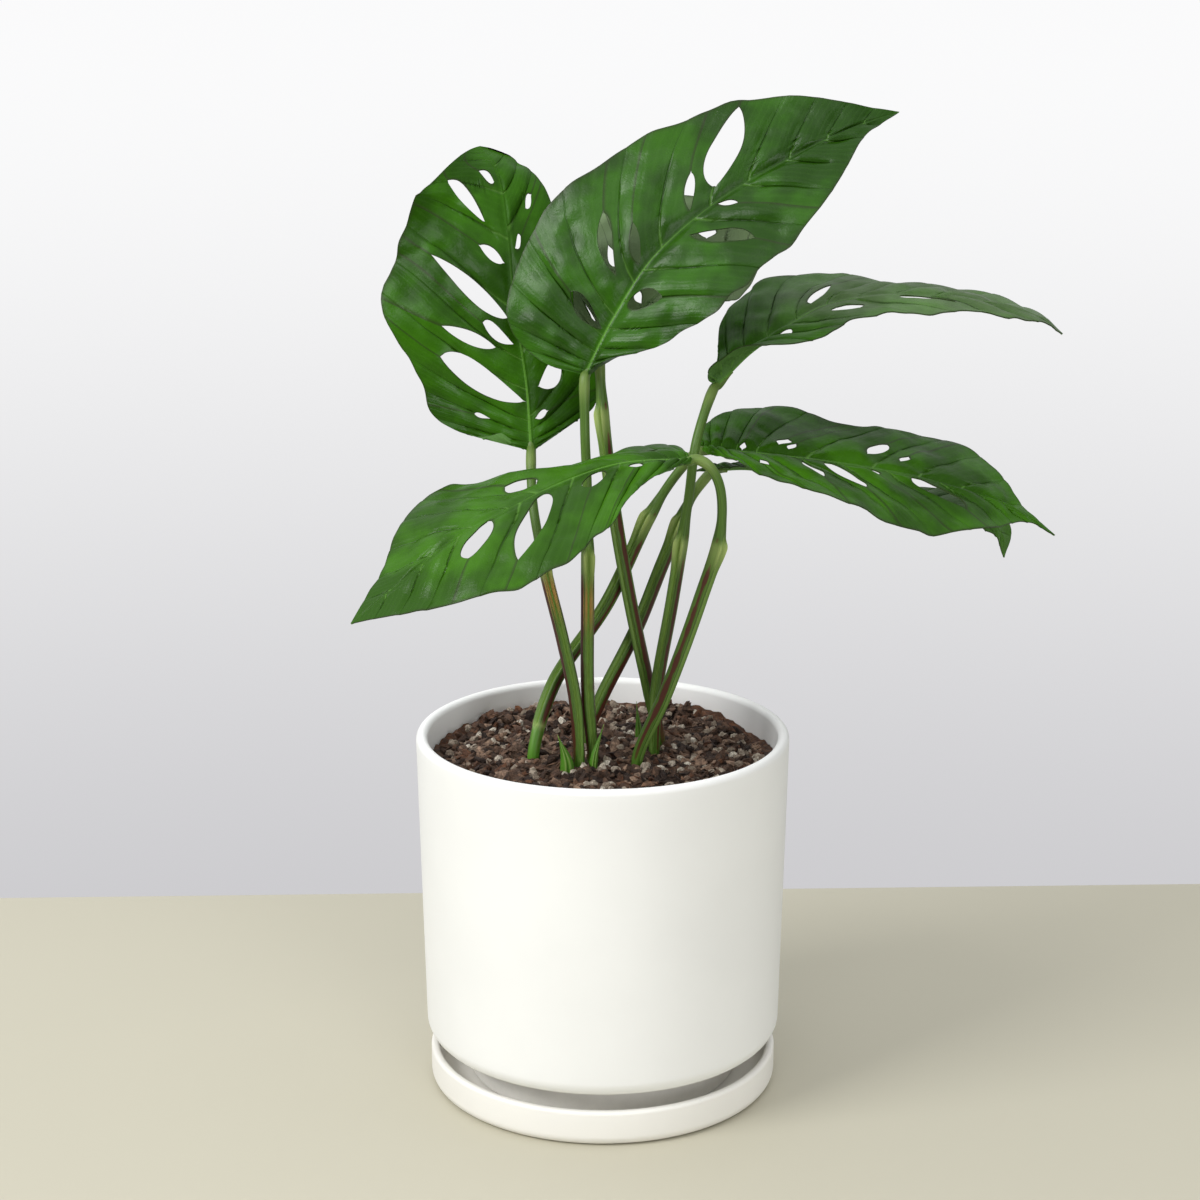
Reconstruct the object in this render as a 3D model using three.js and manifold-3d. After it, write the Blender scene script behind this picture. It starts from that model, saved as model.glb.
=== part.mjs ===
// Potted swiss cheese vine: a ceramic pot on its saucer, soil, and seven leaves on channelled
// leaf stalks. Millimetres, +Z up, origin on the pot's axis at the surface it stands on.
import * as THREE from 'three';
import { mergeVertices } from 'three/addons/utils/BufferGeometryUtils.js';
import Module from 'manifold-3d';

const wasm = await Module();
wasm.setup();

const { degToRad, lerp, smoothstep } = THREE.MathUtils;

// Driving sizes
const GAP = 0.3;
const ROUND_SIDES = 48;
const HOLE_SIDES = 14;
const ARC_STEPS = 4;

const SAUCER = {
  radius: 72,
  height: 15,
  wall: 3.6,
  floor: 4.6,
  baseRound: 4.5,
  rimRound: 1.5,
  innerRound: 3,
};

const POT = {
  height: 150.5,
  rimRadius: 76,
  baseRadius: 73.4,
  wall: 4.7,
  bodyBase: 21,
  cornerRound: 7,
  floor: 6,
  footRadius: 55.5,
  footWall: 6.5,
  drainRadius: 7,
};

const SOIL = { level: 138.5, mound: 1.6, grain: 4.4, relief: 2.4, rings: 13 };

const STALK = { rootDepth: 26, collar: 5, play: 0.6, steps: 14, tipRadius: 1.9 };

const SPROUT = { rootDepth: 13, sides: 8, steps: 8, tipShare: 0.18 };

const BLADE = {
  thickness: 0.8,
  rows: 8,
  columns: 15,
  ribHalf: 1.3,
  keel: 1,
  wave: 1.2,
  waves: 18,
  veinSweep: 1.15,
  holeEnd: 0.6,
};

// Materials
function material(colour, roughness) {
  return new THREE.MeshStandardMaterial({ color: colour, roughness, metalness: 0 });
}

const ceramic = material(0xf3f1ec, 0.55);
const saucerCeramic = material(0xf1ede4, 0.6);
const earth = material(0x3a2620, 0.95);
const leafGreen = material(0x2b6a22, 0.4);
const darkLeafGreen = material(0x2f4d2c, 0.45);
const stalkGreen = material(0x4f7a2c, 0.5);
const sproutGreen = material(0x4d9a35, 0.5);

// The seven leaves. A blade hangs on its midrib, a smooth curve through the points of rib from base
// to tip. face holds the way the upper side looks, at the base and at the tip, and lag sets how far
// the side veins sweep forward. Each half, left and right seen from the base, has its outline as
// base points [along, across] and then half-widths at even steps to the tip, its fold, which is the
// angle at which it leaves the midrib, in degrees above the face at even steps, and its curl, the
// further bend out to the margin. A hole lies along a side vein: [vein, from, to, open, lean], where
// vein counts from 0 at the base to 1 at the tip, from and to are shares of the way from the midrib
// to the margin, and open is the hole's width on the scale of vein. lean, where there is one, is how
// far the hole's line drifts from its vein over the whole way out.
const LEAVES = {
  back_left: {
    rib: [
      [-29, 22, 262], [-31, 30, 288], [-36, 40, 320], [-39, 54, 348], [-43, 68, 368],
      [-51, 80, 378.6],
    ],
    face: [[-0.15, -0.95, 0.3], [0.15, -0.6, 0.8]],
    lag: 3.2,
    broad: 48,
    left: {
      base: [[8, 9], [8, 24]],
      widths: [44, 45, 56.5, 48, 38.5, 30, 0],
      fold: [-6, -6, -4, 6],
      curl: -16,
      holes: [
        [0.4, 0.36, 0.52, 0.022, -0.06], [0.552, 0.02, 0.6, 0.094],
        [0.634, 0.2, 0.58, 0.026, -0.09], [0.68, 0.05, 0.28, 0.03], [0.72, 0.07, 0.73, 0.036],
        [0.801, 0.06, 0.31, 0.022], [0.878, 0.24, 0.77, 0.036, 0.12],
        [0.928, 0.09, 0.33, 0.024, 0.08],
      ],
    },
    right: {
      base: [[8, 8], [12, 20]],
      widths: [28, 31, 28, 24, 19, 13, 0],
      fold: [-6, -6, -8, -14],
      curl: -16,
      holes: [
        [0.46, 0.06, 0.22, 0.04, -0.12], [0.535, 0.15, 0.5, 0.065, -0.15],
        [0.814, 0.12, 0.28, 0.02], [0.834, 0.52, 0.7, 0.026],
      ],
    },
  },
  top: {
    rib: [
      [-7, -2, 297], [4, -1, 319], [20, 2, 343], [45, 8, 364], [73, 12, 380], [96, 15, 391],
      [116, 22, 397],
    ],
    face: [[-0.12, -0.93, 0.36], [-0.12, -0.93, 0.36]],
    lag: 2.3,
    broad: 52,
    left: {
      base: [[-3, 18], [3, 35]],
      widths: [45, 47, 41, 34, 24.5, 10, 0],
      fold: [8, 4, 4],
      curl: -22,
      holes: [
        [0.412, 0.03, 0.41, 0.052], [0.532, 0.17, 0.64, 0.03], [0.591, 0.05, 0.36, 0.022],
        [0.69, 0.1, 0.46, 0.017, -0.03], [0.727, 0.17, 0.93, 0.05, -0.02],
      ],
    },
    right: {
      base: [[14, 4], [18, 12]],
      widths: [19, 35, 36, 33, 22, 6, 0],
      fold: [22, 24, 16],
      curl: -26,
      holes: [[0.515, 0.05, 0.39, 0.056], [0.668, 0.15, 0.68, 0.034], [0.737, 0.02, 0.23, 0.013]],
    },
  },
  right_upper: {
    rib: [
      [45, 10, 291], [59, 14, 304], [75, 19, 314], [90, 24, 321], [111, 29, 324], [132, 34, 323],
      [155, 38, 320], [178, 42, 313], [188, 44, 306],
    ],
    face: [[0, -0.35, 0.94], [0, -0.3, 0.95]],
    lag: 2.6,
    broad: 34,
    left: {
      base: [[6, 6], [14, 14]],
      widths: [27, 39, 36, 27, 23, 20, 0],
      fold: [6, 2, -8, -12, -10],
      curl: -10,
      holes: [[0.645, 0.11, 0.46, 0.032]],
    },
    right: {
      base: [[-1, 6], [4, 12]],
      widths: [20, 22, 22, 24, 20, 8, 0],
      fold: [84, 14, 12, 10, 6],
      curl: -6,
      holes: [[0.488, 0.22, 0.4, 0.045], [0.656, 0.26, 0.48, 0.055], [0.791, 0.13, 0.66, 0.06]],
    },
  },
  left_lower: {
    rib: [
      [34, -28, 269], [8, -40, 270], [-14, -49, 265], [-33, -56, 257], [-55, -63, 246],
      [-76, -69, 230], [-94, -74, 216],
    ],
    face: [[-0.25, -0.35, 0.9], [-0.35, -0.45, 0.8]],
    lag: 2.8,
    broad: 36,
    left: {
      base: [[4, 4], [12, 8]],
      widths: [15, 29, 37, 37, 31, 15, 0],
      fold: [-2, -2, -2],
      curl: -18,
      holes: [
        [0.483, 0.05, 0.17, 0.05], [0.598, 0.05, 0.28, 0.06], [0.724, 0.07, 0.73, 0.068],
        [0.822, 0.01, 0.54, 0.044],
      ],
    },
    right: {
      base: [[-1, 12], [6, 19]],
      widths: [17, 21, 36, 48, 32, 13, 0],
      fold: [-2, -16, -8, 0, -2],
      curl: -10,
      holes: [[0.31, 0.4, 0.54, 0.05], [0.7, 0.19, 0.47, 0.056]],
    },
  },
  right_lower: {
    rib: [
      [39, 6, 266], [56, 9, 264], [77, 13, 261], [105, 18, 256], [131, 22, 250], [156, 25, 242],
      [172, 27, 234], [186, 29, 225],
    ],
    face: [[0, -0.4, 0.92], [0.1, -0.4, 0.9]],
    lag: 2.4,
    broad: 40,
    left: {
      base: [[-2, 8], [6, 18]],
      widths: [30, 41, 29.5, 38.5, 33, 7, 0],
      fold: [4, 2, 0],
      curl: -12,
      holes: [
        [0.442, 0.02, 0.1, 0.026], [0.543, 0.13, 0.29, 0.034], [0.571, 0.09, 0.22, 0.018],
        [0.692, 0.21, 0.5, 0.026], [0.743, 0.2, 0.31, 0.014],
      ],
    },
    right: {
      base: [[5, 5], [12, 14]],
      widths: [24, 36, 39, 35, 22, 4, 0],
      fold: [24, 20, 8, 2, 0],
      curl: -14,
      holes: [
        [0.434, 0.34, 0.46, 0.018], [0.566, 0.16, 0.52, 0.032, -0.1],
        [0.628, 0.07, 0.54, 0.044, -0.04], [0.702, 0.08, 0.18, 0.02], [0.772, 0.06, 0.7, 0.046],
      ],
    },
  },
  behind_top: {
    dark: true,
    rib: [[-1, 12, 302], [8, 15, 313], [23, 20, 327], [42, 28, 340], [67, 38, 345]],
    face: [[-0.05, -0.93, 0.36], [-0.05, -0.93, 0.36]],
    lag: 2.3,
    broad: 38,
    left: {
      base: [[0, 6], [4, 12]],
      widths: [20, 30, 40, 42, 34, 18, 0],
      fold: [4, 2, 0],
      curl: -20,
      holes: [
        [0.43, 0.32, 0.68, 0.022], [0.64, 0.46, 0.66, 0.03], [0.67, 0.03, 0.14, 0.03],
        [0.88, 0.32, 0.58, 0.036],
      ],
    },
    right: {
      base: [[3, 2], [7, 3]],
      widths: [4, 6, 10, 15, 20, 19, 0],
      fold: [4, 2, 0],
      curl: -20,
      holes: [[0.55, 0.05, 0.6, 0.05]],
    },
  },
  under_right: {
    rib: [
      [44, 15, 256], [62, 34, 252], [84, 46, 244], [106, 52, 236], [130, 56, 231],
      [152, 59, 227], [167, 61, 220], [171, 63, 207],
    ],
    face: [[0, 0.3, 1], [0.3, -0.55, 0.7]],
    lag: 2.3,
    broad: 34,
    left: {
      base: [[0, 6], [5, 12]],
      widths: [8, 11, 13, 18, 18, 13, 0],
      fold: [4, 4, 0],
      curl: -14,
      holes: [[0.52, 0.15, 0.5, 0.04], [0.64, 0.2, 0.6, 0.034]],
    },
    right: {
      base: [[1, 4], [6, 8]],
      widths: [6, 7, 8, 8, 6, 4, 0],
      fold: [0, 0, 0],
      curl: -14,
      holes: [[0.56, 0.2, 0.6, 0.036]],
    },
  },
};

// The leaf stalks, each from the soil to its leaf's base. radius is that of the sheathed lower
// part, sheath the share of the length at which it ends, and channel the side that its groove
// faces.
const STALKS = {
  back_left: {
    path: [
      [-9.5, -15.5], [-11, -14, 167], [-16, -12, 192], [-23, -4, 219], [-28, 8, 243],
      [-29, 21.3, 261.2],
    ],
    radius: 2.6,
    sheath: 0.7,
    channel: [0.3, -1, 0],
  },
  top: {
    path: [
      [-4, -10.5], [-6, -11, 170], [-6, -10, 208], [-6, -7, 248], [-7, -5, 276],
      [-7, -2.5, 296.6],
    ],
    radius: 2.7,
    sheath: 0.61,
    channel: [0.2, -1, 0],
  },
  right_upper: {
    path: [
      [21, 0], [22, -1, 168], [28, -3, 206], [34, -5, 248], [37, -3, 271], [44.6, 9.6, 290.4],
    ],
    radius: 2.6,
    sheath: 0.64,
    channel: [-0.6, -1, 0],
  },
  left_lower: {
    path: [
      [14, -14], [25, -16, 171], [38, -20, 210], [46, -24, 240], [45, -27, 259],
      [40.4, -28, 266.8], [35.2, -28, 269.1],
    ],
    radius: 2.6,
    sheath: 0.75,
    channel: [1, -0.8, 0],
  },
  right_lower: {
    path: [
      [-28, -7], [-20, 2, 169], [2, 8, 202], [19.5, 9, 239], [30, 7, 256], [38, 5.6, 265.1],
    ],
    radius: 2.8,
    sheath: 0.795,
    channel: [-0.8, -1, 0.4],
  },
  behind_top: {
    path: [
      [23.5, 8.5], [19, 7, 166], [12, 4, 200], [6, 2, 234], [1, 5, 270], [-1, 11.5, 301.5],
    ],
    radius: 2.6,
    sheath: 0.88,
    channel: [-0.7, -1, 0],
  },
  under_right: {
    path: [
      [-7, 7], [-1, 9, 160], [14, 13, 190], [25, 15, 218], [36, 16, 244], [43, 15.1, 253.8],
    ],
    radius: 2.8,
    sheath: 0.84,
    channel: [-0.6, -1, 0.3],
  },
};

// Young shoots that stand beside the stalks: foot, tip and radius
const SPROUTS = {
  left: { foot: [-14.5, -20], tip: [-18, -21, 155], radius: 2.8 },
  middle: { foot: [-3.6, -17], tip: [0.5, -16, 158], radius: 1.7 },
  right: { foot: [15, 20], tip: [14, 21, 156], radius: 1.6 },
};

// Meshes and solids
function named(name, geometry, look) {
  geometry.computeVertexNormals();
  const mesh = new THREE.Mesh(geometry, look);
  mesh.name = name;
  return mesh;
}

function indexed(points, triangles) {
  const geometry = new THREE.BufferGeometry();
  const positions = points.flatMap((point) => [point.x, point.y, point.z]);
  geometry.setAttribute('position', new THREE.Float32BufferAttribute(positions, 3));
  geometry.setIndex(triangles.flat());
  return geometry;
}

function welded(geometry) {
  const bare = geometry.clone();
  bare.deleteAttribute('normal');
  bare.deleteAttribute('uv');
  return mergeVertices(bare, 1e-4);
}

function solidOf(geometry) {
  const bare = welded(geometry);
  const mesh = new wasm.Mesh({
    numProp: 3,
    vertProperties: new Float32Array(bare.attributes.position.array),
    triVerts: new Uint32Array(bare.index.array),
  });
  return new wasm.Manifold(mesh);
}

function geometryOf(solid) {
  const mesh = solid.getMesh();
  const geometry = new THREE.BufferGeometry();
  geometry.setAttribute('position', new THREE.BufferAttribute(mesh.vertProperties.slice(), 3));
  geometry.setIndex(new THREE.BufferAttribute(mesh.triVerts.slice(), 1));
  return geometry;
}

// Turned ceramics
function arc(centreX, centreY, radius, fromDegrees, toDegrees, steps = ARC_STEPS) {
  return Array.from({ length: steps + 1 }, (_, i) => {
    const angle = degToRad(lerp(fromDegrees, toDegrees, i / steps));
    return new THREE.Vector2(centreX + radius * Math.cos(angle), centreY + radius * Math.sin(angle));
  });
}

function turned(profile) {
  const geometry = new THREE.LatheGeometry(profile, ROUND_SIDES);
  geometry.rotateX(Math.PI / 2);
  return geometry;
}

function saucer() {
  const { radius, height, wall, floor, baseRound, rimRound, innerRound } = SAUCER;
  const inside = radius - wall;
  const profile = [
    new THREE.Vector2(0, 0),
    ...arc(radius - baseRound, baseRound, baseRound, -90, 0),
    ...arc(radius - rimRound, height - rimRound, rimRound, 0, 90, 2),
    ...arc(inside + rimRound, height - rimRound, rimRound, 90, 180, 2),
    ...arc(inside - innerRound, floor + innerRound, innerRound, 0, -90, 2),
    new THREE.Vector2(0, floor),
  ];
  return named('saucer', turned(profile), saucerCeramic);
}

function pot() {
  const foot = SAUCER.floor + GAP;
  const insideBase = POT.baseRadius - POT.wall;
  const insideFloor = POT.bodyBase + POT.floor;
  const footInside = POT.footRadius - POT.footWall;
  const rimRound = POT.wall / 2;
  const profile = [
    new THREE.Vector2(POT.drainRadius, POT.bodyBase),
    new THREE.Vector2(footInside, POT.bodyBase),
    new THREE.Vector2(footInside, foot),
    new THREE.Vector2(POT.footRadius, foot),
    new THREE.Vector2(POT.footRadius, POT.bodyBase),
    ...arc(POT.baseRadius - POT.cornerRound, POT.bodyBase + POT.cornerRound, POT.cornerRound, -90, 0),
    ...arc(POT.rimRadius - rimRound, POT.height - rimRound, rimRound, 0, 180, 6),
    ...arc(insideBase - POT.cornerRound, insideFloor + POT.cornerRound, POT.cornerRound, 0, -90, 3),
    new THREE.Vector2(POT.drainRadius, insideFloor),
    new THREE.Vector2(POT.drainRadius, POT.bodyBase),
  ];
  return named('pot', turned(profile), ceramic);
}

// The pot's inner radius at a height above its rounded inside corner
function innerRadius(z) {
  const low = POT.bodyBase + POT.floor + POT.cornerRound;
  const high = POT.height - POT.wall / 2;
  const share = (z - low) / (high - low);
  return lerp(POT.baseRadius, POT.rimRadius, share) - POT.wall;
}

// Soil
function hash(i, j) {
  const value = Math.sin(i * 127.1 + j * 311.7) * 43758.5453;
  return value - Math.floor(value);
}

function soilHeight(x, y) {
  const chip = hash(Math.floor(x / SOIL.grain), Math.floor(y / SOIL.grain));
  const distance = Math.hypot(x, y) / innerRadius(SOIL.level);
  return SOIL.level + SOIL.mound * (1 - distance * distance) + SOIL.relief * (chip - 0.5);
}

function soilBody() {
  const bottom = POT.bodyBase + POT.floor + GAP;
  const insideBase = POT.baseRadius - POT.wall - GAP;
  const corner = arc(
    insideBase - POT.cornerRound, bottom + POT.cornerRound, POT.cornerRound, -90, 0, 3,
  );
  const top = innerRadius(SOIL.level) - GAP;
  const rings = Array.from({ length: SOIL.rings }, (_, i) => {
    return new THREE.Vector2(top * (1 - i / SOIL.rings), SOIL.level);
  });
  const profile = [
    new THREE.Vector2(0, bottom), ...corner, ...rings, new THREE.Vector2(0, SOIL.level),
  ];
  const body = welded(turned(profile));
  const position = body.attributes.position;
  for (let i = 0; i < position.count; i += 1) {
    if (position.getZ(i) > SOIL.level - 1) {
      position.setZ(i, soilHeight(position.getX(i), position.getY(i)));
    }
  }
  return body;
}

function plainHole([x, y], radius, bottom) {
  const height = POT.height - bottom;
  const hole = new THREE.CylinderGeometry(radius, radius, height, HOLE_SIDES);
  hole.rotateX(Math.PI / 2);
  hole.translate(x, y, bottom + height / 2);
  return solidOf(hole);
}

function soil() {
  let body = solidOf(soilBody());
  for (const { path, radius } of Object.values(STALKS)) {
    const bottom = SOIL.level - STALK.rootDepth - GAP;
    body = body.subtract(plainHole(path[0], radius + STALK.play, bottom));
  }
  for (const { foot, radius } of Object.values(SPROUTS)) {
    const bottom = SOIL.level - SPROUT.rootDepth - GAP;
    body = body.subtract(plainHole(foot, radius + STALK.play, bottom));
  }
  return named('soil', geometryOf(body), earth);
}

// A tube of changing section along a curve, closed at both ends
function sweep(rings, sides) {
  const points = rings.flatMap((ring) => ring);
  const triangles = [];
  for (let i = 0; i + 1 < rings.length; i += 1) {
    for (let j = 0; j < sides; j += 1) {
      const a = i * sides + j;
      const b = i * sides + ((j + 1) % sides);
      triangles.push([a, b, b + sides], [a, b + sides, a + sides]);
    }
  }
  const last = (rings.length - 1) * sides;
  for (let j = 1; j + 1 < sides; j += 1) {
    triangles.push([0, j + 1, j], [last, last + j, last + j + 1]);
  }
  return indexed(points, triangles);
}

// Leaf stalks: the section's angle is counted from the groove, which has a wing on either side
const SECTION = [0, 26, 62, 100, 142, 180, 218, 260, 298, 334].map(degToRad);

function sectionRadius(angle, sheathed) {
  const fromGroove = Math.min(angle, 2 * Math.PI - angle);
  const groove = Math.exp(-((fromGroove / degToRad(17)) ** 2));
  const wing = Math.exp(-(((fromGroove - degToRad(30)) / degToRad(16)) ** 2));
  return 1 + sheathed * (0.2 * wing - 0.55 * groove);
}

// A curve that stands upright in the soil and leaves it for the further points
function rootedCurve([x, y], depth, further) {
  const upright = [-depth, -STALK.collar, STALK.collar].map((rise) => [x, y, SOIL.level + rise]);
  const points = [...upright, ...further].map((point) => new THREE.Vector3(...point));
  return new THREE.CatmullRomCurve3(points);
}

function stalkMesh(name, stalk) {
  const curve = rootedCurve(stalk.path[0], STALK.rootDepth, stalk.path.slice(1));
  const facing = new THREE.Vector3(...stalk.channel);
  const rings = [];
  for (let i = 0; i <= STALK.steps; i += 1) {
    const share = i / STALK.steps;
    const centre = curve.getPointAt(share);
    const tangent = curve.getTangentAt(share);
    const across = new THREE.Vector3().crossVectors(tangent, facing).normalize();
    const groove = new THREE.Vector3().crossVectors(across, tangent);
    const aboveSoil = smoothstep(centre.z, SOIL.level, SOIL.level + 8);
    const sheathed = aboveSoil * (1 - smoothstep(share, stalk.sheath, stalk.sheath + 0.06));
    const slim = smoothstep(share, stalk.sheath, stalk.sheath + 0.08);
    const radius = lerp(stalk.radius, STALK.tipRadius, slim);
    rings.push(SECTION.map((angle) => {
      const reach = radius * sectionRadius(angle, sheathed);
      return centre.clone()
        .addScaledVector(groove, reach * Math.cos(angle))
        .addScaledVector(across, reach * Math.sin(angle));
    }));
  }
  return named(`stalk_${name}`, sweep(rings, SECTION.length), stalkGreen);
}

function sproutMesh(name, sprout) {
  const curve = rootedCurve(sprout.foot, SPROUT.rootDepth, [sprout.tip]);
  const rings = [];
  for (let i = 0; i <= SPROUT.steps; i += 1) {
    const centre = curve.getPointAt(i / SPROUT.steps);
    const taper = smoothstep(centre.z, SOIL.level + 2, sprout.tip[2]);
    const radius = sprout.radius * lerp(1, SPROUT.tipShare, taper);
    rings.push(Array.from({ length: SPROUT.sides }, (_, j) => {
      const angle = (2 * Math.PI * j) / SPROUT.sides;
      return new THREE.Vector3(radius * Math.cos(angle), radius * Math.sin(angle), 0).add(centre);
    }));
  }
  return named(`sprout_${name}`, sweep(rings, SPROUT.sides), sproutGreen);
}

// Leaf blades
function smoothCurve(points) {
  const corners = points.map(([x, y, z = 0]) => new THREE.Vector3(x, y, z));
  return new THREE.CatmullRomCurve3(corners, false, 'catmullrom', 0.5);
}

function valueAlong(values, share) {
  return smoothCurve(values.map((value, i) => [i, value])).getPoint(share).y;
}

function bladeOf(leaf) {
  const curve = smoothCurve(leaf.rib);
  const length = curve.getLength();
  const faces = leaf.face.map((direction) => new THREE.Vector3(...direction));

  // Position, left and upward directions of the midrib at a distance along it
  function ribFrame(along) {
    const share = Math.min(Math.max(along / length, 0), 1);
    const forward = curve.getTangent(share);
    const origin = curve.getPoint(share).addScaledVector(forward, along - share * length);
    const upward = faces[0].clone().lerp(faces[1], share);
    upward.addScaledVector(forward, -upward.dot(forward)).normalize();
    const left = new THREE.Vector3().crossVectors(upward, forward);
    return { origin, left, upward, share };
  }

  // The point of the blade that lies along and across the flattened leaf
  function bend(along, across, half, side) {
    const { origin, left, upward, share } = ribFrame(along);
    const angle = degToRad(valueAlong(half.fold, share) + (half.curl * across) / (2 * leaf.broad));
    const phase = side > 0 ? 0 : Math.PI / 2;
    const ripple = Math.sin(BLADE.waves * share + phase);
    const wave = BLADE.wave * (across / leaf.broad) ** 2 * ripple;
    return origin
      .addScaledVector(left, side * across * Math.cos(angle))
      .addScaledVector(upward, across * Math.sin(angle) + wave);
  }

  function margin(half) {
    const outline = [[0, 0], ...half.base];
    half.widths.forEach((width, i) => outline.push([(length * (i + 1)) / half.widths.length, width]));
    return smoothCurve(outline);
  }

  return { length, bend, margin };
}

// Where a vein line lies at a row between midrib and margin. It turns about its hole's middle.
function linePlace(holes, line, row) {
  const hole = holes.find(([vein]) => vein === line);
  if (!hole) {
    return line;
  }
  const [, from, to, , lean = 0] = hole;
  return line + lean * (row / BLADE.rows - (from + to) / 2);
}

// The opening of the holes on a vein line at a row
function opening(holes, line, row) {
  let open = 0;
  for (const [vein, from, to, width] of holes) {
    const first = Math.max(1, Math.round(from * BLADE.rows));
    const last = Math.max(first + 2, Math.round(to * BLADE.rows));
    if (vein === line && row > first && row < last) {
      const share = (row - first) / (last - first);
      open += (width / 2) * Math.sin(Math.PI * share) ** BLADE.holeEnd;
    }
  }
  return open;
}

function bladeMesh(name, leaf) {
  const { length, bend, margin } = bladeOf(leaf);
  const points = [];
  const drop = [];
  const keys = new Map();
  const triangles = [];

  function vertex(key, make, below) {
    if (!keys.has(key)) {
      keys.set(key, points.length);
      points.push(make());
      drop.push(below);
    }
    return keys.get(key);
  }

  function addTriangle(a, b, c, side) {
    if (a !== b && b !== c && c !== a) {
      triangles.push(side > 0 ? [a, b, c] : [a, c, b]);
    }
  }

  // One half of the blade: strips between vein lines, where every hole opens on a line of its own
  function addHalf(half, side) {
    const outline = margin(half);
    const lines = [...new Set([0, ...half.holes.map(([vein]) => vein), 1])].sort((a, b) => a - b);
    const ribChain = [];

    function gridVertex(strip, column, columns, row) {
      const share = row / BLADE.rows;
      const start = opening(half.holes, lines[strip], row);
      const end = opening(half.holes, lines[strip + 1], row);
      const low = linePlace(half.holes, lines[strip], row) + start;
      const high = linePlace(half.holes, lines[strip + 1], row) - end;
      const vein = lerp(low, high, column / columns);
      let key = `${side}/${strip}/${column}/${row}`;
      if (column === 0 && start === 0) {
        key = `${side}/line/${strip}/${row}`;
      }
      if (column === columns && end === 0) {
        key = `${side}/line/${strip + 1}/${row}`;
      }
      if (vein === 0 || vein === 1) {
        key = `end/${vein}`;
      }
      const taper = 1 - 0.75 * vein;
      return vertex(key, () => {
        const edge = outline.getPoint(vein);
        const across = Math.max(edge.y, 0);
        const inner = Math.min(BLADE.ribHalf * taper, 0.3 * across);
        const root = length * vein ** leaf.lag;
        const along = lerp(root, edge.x, share ** BLADE.veinSweep);
        return bend(along, lerp(inner, across, share), half, side);
      }, row === 0 ? BLADE.keel * taper : 0);
    }

    for (let strip = 0; strip + 1 < lines.length; strip += 1) {
      const span = lines[strip + 1] - lines[strip];
      const columns = Math.max(2, Math.round(span * BLADE.columns));
      for (let column = 0; column < columns; column += 1) {
        for (let row = 0; row < BLADE.rows; row += 1) {
          const a = gridVertex(strip, column, columns, row);
          const b = gridVertex(strip, column + 1, columns, row);
          const c = gridVertex(strip, column + 1, columns, row + 1);
          const d = gridVertex(strip, column, columns, row + 1);
          addTriangle(a, b, c, side);
          addTriangle(a, c, d, side);
        }
      }
      const ends = [lines[strip], lines[strip + 1]].map((line) => linePlace(half.holes, line, 0));
      for (let column = strip === 0 ? 0 : 1; column <= columns; column += 1) {
        const vein = lerp(...ends, column / columns);
        ribChain.push({ index: gridVertex(strip, column, columns, 0), along: vein ** leaf.lag });
      }
    }
    return ribChain;
  }

  // The midrib's own strip joins the two halves, whose veins leave it at different places
  function addMidrib(left, right) {
    let i = 0;
    let j = 0;
    while (i + 1 < left.length || j + 1 < right.length) {
      const leftNext = i + 1 < left.length ? left[i + 1].along : Infinity;
      const rightNext = j + 1 < right.length ? right[j + 1].along : Infinity;
      if (leftNext <= rightNext) {
        addTriangle(left[i].index, right[j].index, left[i + 1].index, 1);
        i += 1;
      } else {
        addTriangle(left[i].index, right[j].index, right[j + 1].index, 1);
        j += 1;
      }
    }
  }

  addMidrib(addHalf(leaf.left, 1), addHalf(leaf.right, -1));
  const look = leaf.dark ? darkLeafGreen : leafGreen;
  return named(`leaf_${name}`, thickened(points, triangles, drop), look);
}

// Gives an open sheet its thickness: the same triangles on both faces, and a wall on every edge
function thickened(points, triangles, drop) {
  const sheet = indexed(points, triangles);
  sheet.computeVertexNormals();
  const normals = sheet.attributes.normal;
  const normal = new THREE.Vector3();
  const upper = points.map((point, i) => {
    normal.fromBufferAttribute(normals, i);
    return point.clone().addScaledVector(normal, BLADE.thickness / 2);
  });
  const lower = points.map((point, i) => {
    normal.fromBufferAttribute(normals, i);
    return point.clone().addScaledVector(normal, -BLADE.thickness / 2 - drop[i]);
  });
  const count = points.length;
  const faces = [...triangles, ...triangles.map(([a, b, c]) => [a + count, c + count, b + count])];
  const edges = new Map();
  for (const [a, b, c] of triangles) {
    for (const [from, to] of [[a, b], [b, c], [c, a]]) {
      edges.set(`${from}/${to}`, [from, to]);
    }
  }
  for (const [from, to] of edges.values()) {
    if (!edges.has(`${to}/${from}`)) {
      faces.push([from, from + count, to + count], [from, to + count, to]);
    }
  }
  return indexed([...upper, ...lower], faces);
}

// The whole plant in its pot
const plant = new THREE.Group();
plant.add(saucer(), pot(), soil());
for (const [name, stalk] of Object.entries(STALKS)) {
  plant.add(stalkMesh(name, stalk));
}
for (const [name, leaf] of Object.entries(LEAVES)) {
  plant.add(bladeMesh(name, leaf));
}
for (const [name, sprout] of Object.entries(SPROUTS)) {
  plant.add(sproutMesh(name, sprout));
}

export default plant;
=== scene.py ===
import math

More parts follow.
